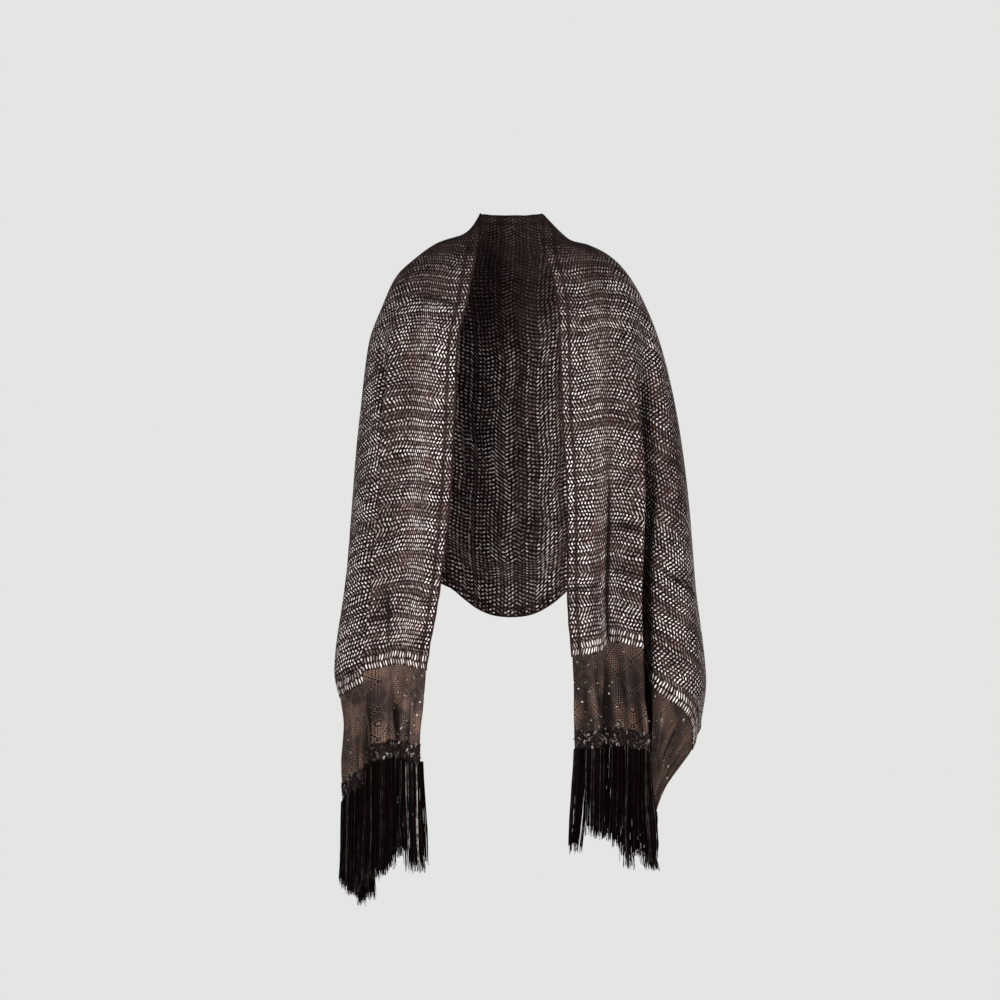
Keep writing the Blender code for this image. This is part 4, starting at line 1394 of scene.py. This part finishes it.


def tassel_wire(side):
    """The middle line of every tassel, from its root down."""
    draw = np.random.default_rng(TASSEL_SEED[side])
    past = KNOTS_FROM + (KNOT_ROWS - 1) * KNOT_STEP
    starts = even_starts(side, past, TASSEL_PITCH)
    roots = on_band(side, starts, *(np.full(len(starts), x) for x in (past, ROOT_LIFT)))
    in_front = starts < seam_start(side)  # this stretch sets the middle that all lean from
    lengths, middle = FRINGE_LENGTH[side](starts), roots[in_front].mean(axis=0)
    clumps = np.cumsum(draw.random(len(starts)) < 1 / CLUMP)
    centres = {c: roots[clumps == c].mean(axis=0) for c in set(clumps)}
    uneven = {c: draw.uniform(*CLUMP_LENGTHS) for c in centres}
    (glint_from, glint_to), points, edges, pale = GLINT_TASSELS[side], [], [], []
    for i, root in enumerate(roots):
        length = lengths[i] * uneven[clumps[i]] * draw.uniform(*TASSEL_LENGTHS)
        lean = (root - middle) * np.array([FRINGE_SPREAD[side], 0, 0])
        lean = np.clip(lean, -WIDEST_LEAN, WIDEST_LEAN) * (1.0 if in_front[i] else ARM_LEAN)
        # painted highlights on the tassels in that stretch, and a little on a few others
        painted_glint = float(glint_from < starts[i] < glint_to)
        pale += [painted_glint + STRAY_GLINT * draw.random() ** 3] * TASSEL_POINTS
        lean += (centres[clumps[i]] - root) * CLUMP_PULL
        parted = starts[i] - FRINGE_PARTED[side]
        opened = PARTING * np.sign(parted) * math.exp(-abs(parted) / PARTED_WIDTH)
        lean[0] += opened * SIGN[side]
        bend = draw.normal(0, BEND, 3) * np.array([1, 1, 0])
        phase, first = draw.uniform(0, 2 * math.pi), len(points)
        for s in np.linspace(0, 1, TASSEL_POINTS):
            sway = bend * math.sin(s * SWAYS + phase) * s
            points.append(root + lean * s**LEAN_CURVE + sway - np.array([0, 0, s * length]))
        edges += [(first + k, first + k + 1) for k in range(TASSEL_POINTS - 1)]
    return wire_mesh("tassel wire " + side, points, edges, "pale", "FLOAT", pale)


tassel_wires = {side: tassel_wire(side) for side in SIGN}
counts = {side: len(wire.vertices) // TASSEL_POINTS for side, wire in tassel_wires.items()}
print(counts, "tassels")

# %% Helpers for geometry trees
def random_number(seed, low, high):
    """A number of its own for each point."""
    values = {2: low, 3: high, "Seed": seed}
    return add_node(seed.tree, "FunctionNodeRandomValue", values, 1, data_type="FLOAT")


def random_vector(seed, size):
    values = {0: (-size,) * 3, 1: (size,) * 3, "Seed": seed}
    return add_node(seed.tree, "FunctionNodeRandomValue", values, data_type="FLOAT_VECTOR")


def as_curve(wire):
    return add_node(wire.tree, "GeometryNodeMeshToCurve", {"Mesh": wire})


def cord_round(curve, radius, sides, scale=1.0):
    """A round cord along a curve, with closed ends."""
    values = {"Resolution": sides, "Radius": radius}
    ring = add_node(curve.tree, "GeometryNodeCurvePrimitiveCircle", values, mode="RADIUS")
    values = {"Curve": curve, "Profile Curve": ring, "Scale": scale, "Fill Caps": True}
    return add_node(curve.tree, "GeometryNodeCurveToMesh", values)


def store_tone(geometry, tone, domain):
    """Gives each knot or yarn the number that its finish reads."""
    values = {"Geometry": geometry, "Name": "tone", "Value": tone}
    kind = {"data_type": "FLOAT", "domain": domain}
    return add_node(geometry.tree, "GeometryNodeStoreNamedAttribute", values, **kind)


def join(*parts):
    joined = parts[0].tree.nodes.new("GeometryNodeJoinGeometry")
    for part in parts:
        feed(joined.inputs[0], part)
    return Value(joined.outputs[0])


def close_tree(geometry, given, result):
    """Makes the copies real, gives them their material and ends the tree."""
    real = add_node(geometry.tree, "GeometryNodeRealizeInstances", {0: geometry})
    values = {"Geometry": real, "Material": given["Material"]}
    feed(result["Geometry"], add_node(real.tree, "GeometryNodeSetMaterial", values))


def run_tree(piece, tree, values):
    """Puts a tree on a piece with its own values, and makes the result real."""
    modifier = piece.modifiers.new(tree.name, "NODES")
    modifier.node_group = tree
    for item in tree.interface.items_tree:
        if item.in_out == "INPUT" and item.name in values:
            modifier[item.identifier] = values[item.name]
    return make_real(piece)


print("tree helpers ready")

# %% [markdown]
# ## The yarn finish
# The fringe is smooth dark yarn, nearly black; the shine along its strands is painted into
# its colour. Each yarn carries a number of its own, its tone, that the nodes store on it: most
# are dark, and a few carry a painted highlight in brown, in short patches along the yarn. The
# knotted cord has the same finish, with brighter painted glints.

# %% The yarn finish
# the colour of the painted highlights on a few fringe yarns
GLINT_COLOUR = (0.46, 0.46, 0.41, 1)
# short patches along each yarn where its painted highlight shows
GLINT_PATCH_SCALE, GLINT_PATCHES = 70.0, (0.40, 0.62, 0.25, 1.0)
GLINT_TONES = (0.86, 0.90)  # only yarns with a tone past this get the painted highlight
GRAIN, GRAIN_HEIGHT = (500, 500, 900), 0.0003  # the twist of the yarn, as a fine noise


def yarn_finish(name, dark, light, power, shine):
    finish, shader = new_finish(name, {"Roughness": 0.62, "Specular IOR Level": shine})
    tone, pale = (stored(finish.node_tree, title) for title in ("tone", "pale"))
    place = add_node(finish.node_tree, "ShaderNodeTexCoord", out="Object")
    # painted highlights: the palest tones get the light colour, in short patches along each yarn
    glint_patch = remap(noise(place, GLINT_PATCH_SCALE), *GLINT_PATCHES)
    colour = blend(calc("POWER", tone, power) * glint_patch, dark, light)
    # painted highlights on the yarns that the tassel wire marks
    painted_glint = remap(tone, *GLINT_TONES) * pale * glint_patch
    feed(shader["Base Color"], blend(painted_glint, colour, GLINT_COLOUR))
    twist = add_node(place.tree, "ShaderNodeMapping", {"Vector": place, "Scale": GRAIN})
    grain = noise(twist, scale=1.0, detail=1.0)
    feed(shader["Normal"], bump(grain, strength=0.4, depth=GRAIN_HEIGHT))
    return finish


# the light colours are painted highlights: a dim brown on the fringe, bright glints on the knotted
# cord
YARN_DARK, YARN_GLINT = (0.0040, 0.0021, 0.0018, 1), (0.026, 0.018, 0.015, 1)
CORD_DARK, CORD_GLINT = (0.0085, 0.0050, 0.0044, 1), (0.44, 0.385, 0.35, 1)
yarn_look = yarn_finish("fringe yarn", YARN_DARK, YARN_GLINT, power=6.0, shine=0.0)
knot_look = yarn_finish("knotted cord", CORD_DARK, CORD_GLINT, power=5.2, shine=0.06)
print("yarn finishes:", yarn_look.name, "and", knot_look.name)

# %% The tree that ties the knots
COIL_POINTS, COIL_NARROWS, COIL_HEIGHT, CORE = 7, 0.8, 0.0030, 0.9
KNOT_STRETCH = (0.8, 0.8, 1.35)
KNOT_SIZES, KNOT_TIP = (0.78, 1.18), 0.9
CORD_SIDES = 4
THREADS = 1.25  # how much thicker the cords between the knots are than those round them


def knot_shape(given):
    """A coil of cord round a small core."""
    radius = given["Knot radius"]
    values = {"Resolution": COIL_POINTS, "Rotations": given["Turns"], "Start Radius": radius}
    values.update({"End Radius": radius * COIL_NARROWS, "Height": COIL_HEIGHT})
    coil = add_node(radius.tree, "GeometryNodeCurveSpiral", values)
    wraps = cord_round(coil, given["Cord radius"], CORD_SIDES)
    values = {"Radius": radius * CORE, "Subdivisions": 1}
    return join(wraps, add_node(radius.tree, "GeometryNodeMeshIcoSphere", values))


def knot_turn(tree, seed):
    """Each knot points the way the band hangs there, tipped a little."""
    fall = add_node(tree, "GeometryNodeInputNamedAttribute", {0: "hang"}, data_type="FLOAT_VECTOR")
    turn = add_node(tree, "FunctionNodeAlignRotationToVector", {"Vector": fall}, axis="Z")
    tip = add_node(tree, "FunctionNodeEulerToRotation", {0: random_vector(seed, KNOT_TIP)})
    return add_node(tree, "FunctionNodeRotateRotation", {0: turn, 1: tip})


def knot_tree():
    inputs = {"Knot radius": 0.0015, "Cord radius": 0.00066, "Turns": 1.5, "Seed": 4}
    tree, given, result = new_tree("Geometry", "knots", {**inputs, "Material": knot_look})
    seed, wire = given["Seed"], given["Geometry"]
    values = {"Points": wire, "Instance": knot_shape(given), "Rotation": knot_turn(tree, seed)}
    values["Scale"] = vector_calc("SCALE", KNOT_STRETCH, random_number(seed, *KNOT_SIZES))
    knots = add_node(tree, "GeometryNodeInstanceOnPoints", values)
    knots = store_tone(knots, random_number(seed, 0.0, 1.0), "INSTANCE")
    threads = cord_round(as_curve(wire), given["Cord radius"] * THREADS, CORD_SIDES)
    close_tree(join(knots, threads), given, result)
    return tree


KNOTS = knot_tree()
KNOT_TIP_SEED = {"left": 4, "right": 9}
knot_bands = {}
for side, wire in knot_wires.items():
    knot_bands[side] = place_piece("knots_" + side, wire, None)
    triangles = run_tree(knot_bands[side], KNOTS, {"Seed": KNOT_TIP_SEED[side]})
    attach(knot_bands[side], "root")
    print("knots", side, triangles, "triangles")

# %% The tree that spins the fringe
FLATTEN, LEVEL = (1.0, 1.0, 0.3), (1, 1, 0)
WAVE_SCALE, WAVES_APART = 26.0, 3.0  # how close the waves lie, and how unlike each other
TAPER = -0.35


def for_each_yarn(value, kind):
    settings = {"data_type": kind, "domain": "CURVE"}
    return add_node(value.tree, "GeometryNodeFieldOnDomain", {0: value}, **settings)


def yarn_offset(given, share):
    """Where each yarn lies off the middle of its tassel: its own side, and a slow wave."""
    own = for_each_yarn(random_vector(given["Seed"], 1.0), "FLOAT_VECTOR")
    root, tip = given["Root spread"], given["Tip spread"]
    spread = calc("MULTIPLY_ADD", share, tip - root, root)
    aside = vector_calc("SCALE", vector_calc("MULTIPLY", own, FLATTEN), spread)
    place = add_node(share.tree, "GeometryNodeInputPosition")
    place = vector_calc("ADD", place, vector_calc("SCALE", own, WAVES_APART))
    wave = vector_calc("SUBTRACT", noise(place, WAVE_SCALE, 1.0, out="Color"), (0.5, 0.5, 0.5))
    wave = vector_calc("SCALE", vector_calc("MULTIPLY", wave, LEVEL), given["Waviness"] * share)
    return vector_calc("ADD", aside, wave)


def yarn_tree():
    inputs = {"Yarns in a tassel": 30, "Yarn radius": 0.00064, "Root spread": 0.0052}
    inputs.update({"Tip spread": 0.0074, "Shortest": 0.88, "Waviness": 0.0050, "Seed": 2})
    tree, given, result = new_tree("Geometry", "fringe yarns", {**inputs, "Material": yarn_look})
    seed, share = given["Seed"], add_node(tree, "GeometryNodeSplineParameter", out="Factor")
    values = {"Geometry": as_curve(given["Geometry"]), "Amount": given["Yarns in a tassel"]}
    many = add_node(tree, "GeometryNodeDuplicateElements", values, domain="SPLINE")
    values = {"Geometry": many, "Offset": yarn_offset(given, share)}
    spun = add_node(tree, "GeometryNodeSetPosition", values)
    end = for_each_yarn(random_number(seed, given["Shortest"], 1.0), "FLOAT")
    spun = add_node(tree, "GeometryNodeTrimCurve", {0: spun, 3: end}, mode="FACTOR")
    spun = store_tone(spun, for_each_yarn(random_number(seed, 0.0, 1.0), "FLOAT"), "POINT")
    taper = calc("MULTIPLY_ADD", share, TAPER, 1.0)
    yarns = cord_round(spun, given["Yarn radius"], CORD_SIDES, taper)
    close_tree(join(yarns), given, result)
    return tree


YARNS = yarn_tree()
YARN_SEED = {"left": 2, "right": 7}
fringes = {}
for side, wire in tassel_wires.items():
    fringes[side] = place_piece("fringe_" + side, wire, None)
    triangles = run_tree(fringes[side], YARNS, {"Seed": YARN_SEED[side]})
    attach(fringes[side], "root")
    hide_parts("fringe_arm_" + side, "fringe_front_" + side)
    print("fringe", side, triangles, "triangles")

# %% [markdown]
# ## What the cloth was before it was worn
# The area of the woven cloth's flat cut, before it is worn.

print("flat cloth", round(CLOTH_WIDTH * UNFOLDED, 3), "square metres")

# %% [markdown]
# ## Light and floor
# Plain soft studio light: an even pale surround, a large soft light from the front and left,
# a weaker one from the right, one from behind, and a pale floor at the height of the feet.

# %% The surround
SURROUND, AMBIENT = (0.783, 0.783, 0.768, 1), 0.17
SOFT_WHITE = (1.0, 0.99, 0.98, 1)

scene = bpy.context.scene
scene.view_settings.view_transform = "Standard"
surround = bpy.data.worlds.new("studio")
scene.world = surround
surround.use_nodes = True
nodes = surround.node_tree.nodes
nodes["Background"].inputs["Color"].default_value = SURROUND
values = {"Color": SOFT_WHITE, "Strength": AMBIENT}
soft = add_node(surround.node_tree, "ShaderNodeBackground", values)
seen = add_node(surround.node_tree, "ShaderNodeLightPath", out="Is Camera Ray")
values = {0: seen, 1: soft, 2: Value(nodes["Background"].outputs[0])}
feed(nodes["World Output"].inputs["Surface"], add_node(seen.tree, "ShaderNodeMixShader", values))
print("the surround lights the shawl at", AMBIENT)

# %% Lights and floor
FLOOR_HEIGHT, FLOOR_RADIUS, FLOOR_SIDES = -1.36, 1.9, 96
FLOOR_LOOK = {"Base Color": (0.74, 0.74, 0.725, 1), "Roughness": 0.9}
AIM = Vector((0, 0, -0.4))
LAMPS = {  # the place, the size and the power of each
    "key": ((-1.3, -3.6, -0.6), 1.6, 150),
    "fill": ((2.4, -3.1, -0.6), 1.8, 120),
    "back light": ((0.6, 3.6, 0.4), 2.4, 130),
}
for name, (place, size, power) in LAMPS.items():
    light = bpy.data.lights.new(name, "AREA")
    light.size, light.energy = size, power
    holder = bpy.data.objects.new(name, light)
    holder.location = place
    holder.rotation_euler = (AIM - holder.location).to_track_quat("-Z", "Y").to_euler()
    scene.collection.objects.link(holder)

turns = np.linspace(0, 2 * math.pi, FLOOR_SIDES + 1)[:-1]
rim = [(FLOOR_RADIUS * math.cos(t), FLOOR_RADIUS * math.sin(t), FLOOR_HEIGHT) for t in turns]
floor_mesh = bpy.data.meshes.new("floor")
floor_mesh.from_pydata(rim, [], [tuple(range(len(rim)))])
floor = place_piece("floor", floor_mesh, new_finish("pale floor", FLOOR_LOOK)[0])
print(len(LAMPS), "lamps and a floor")
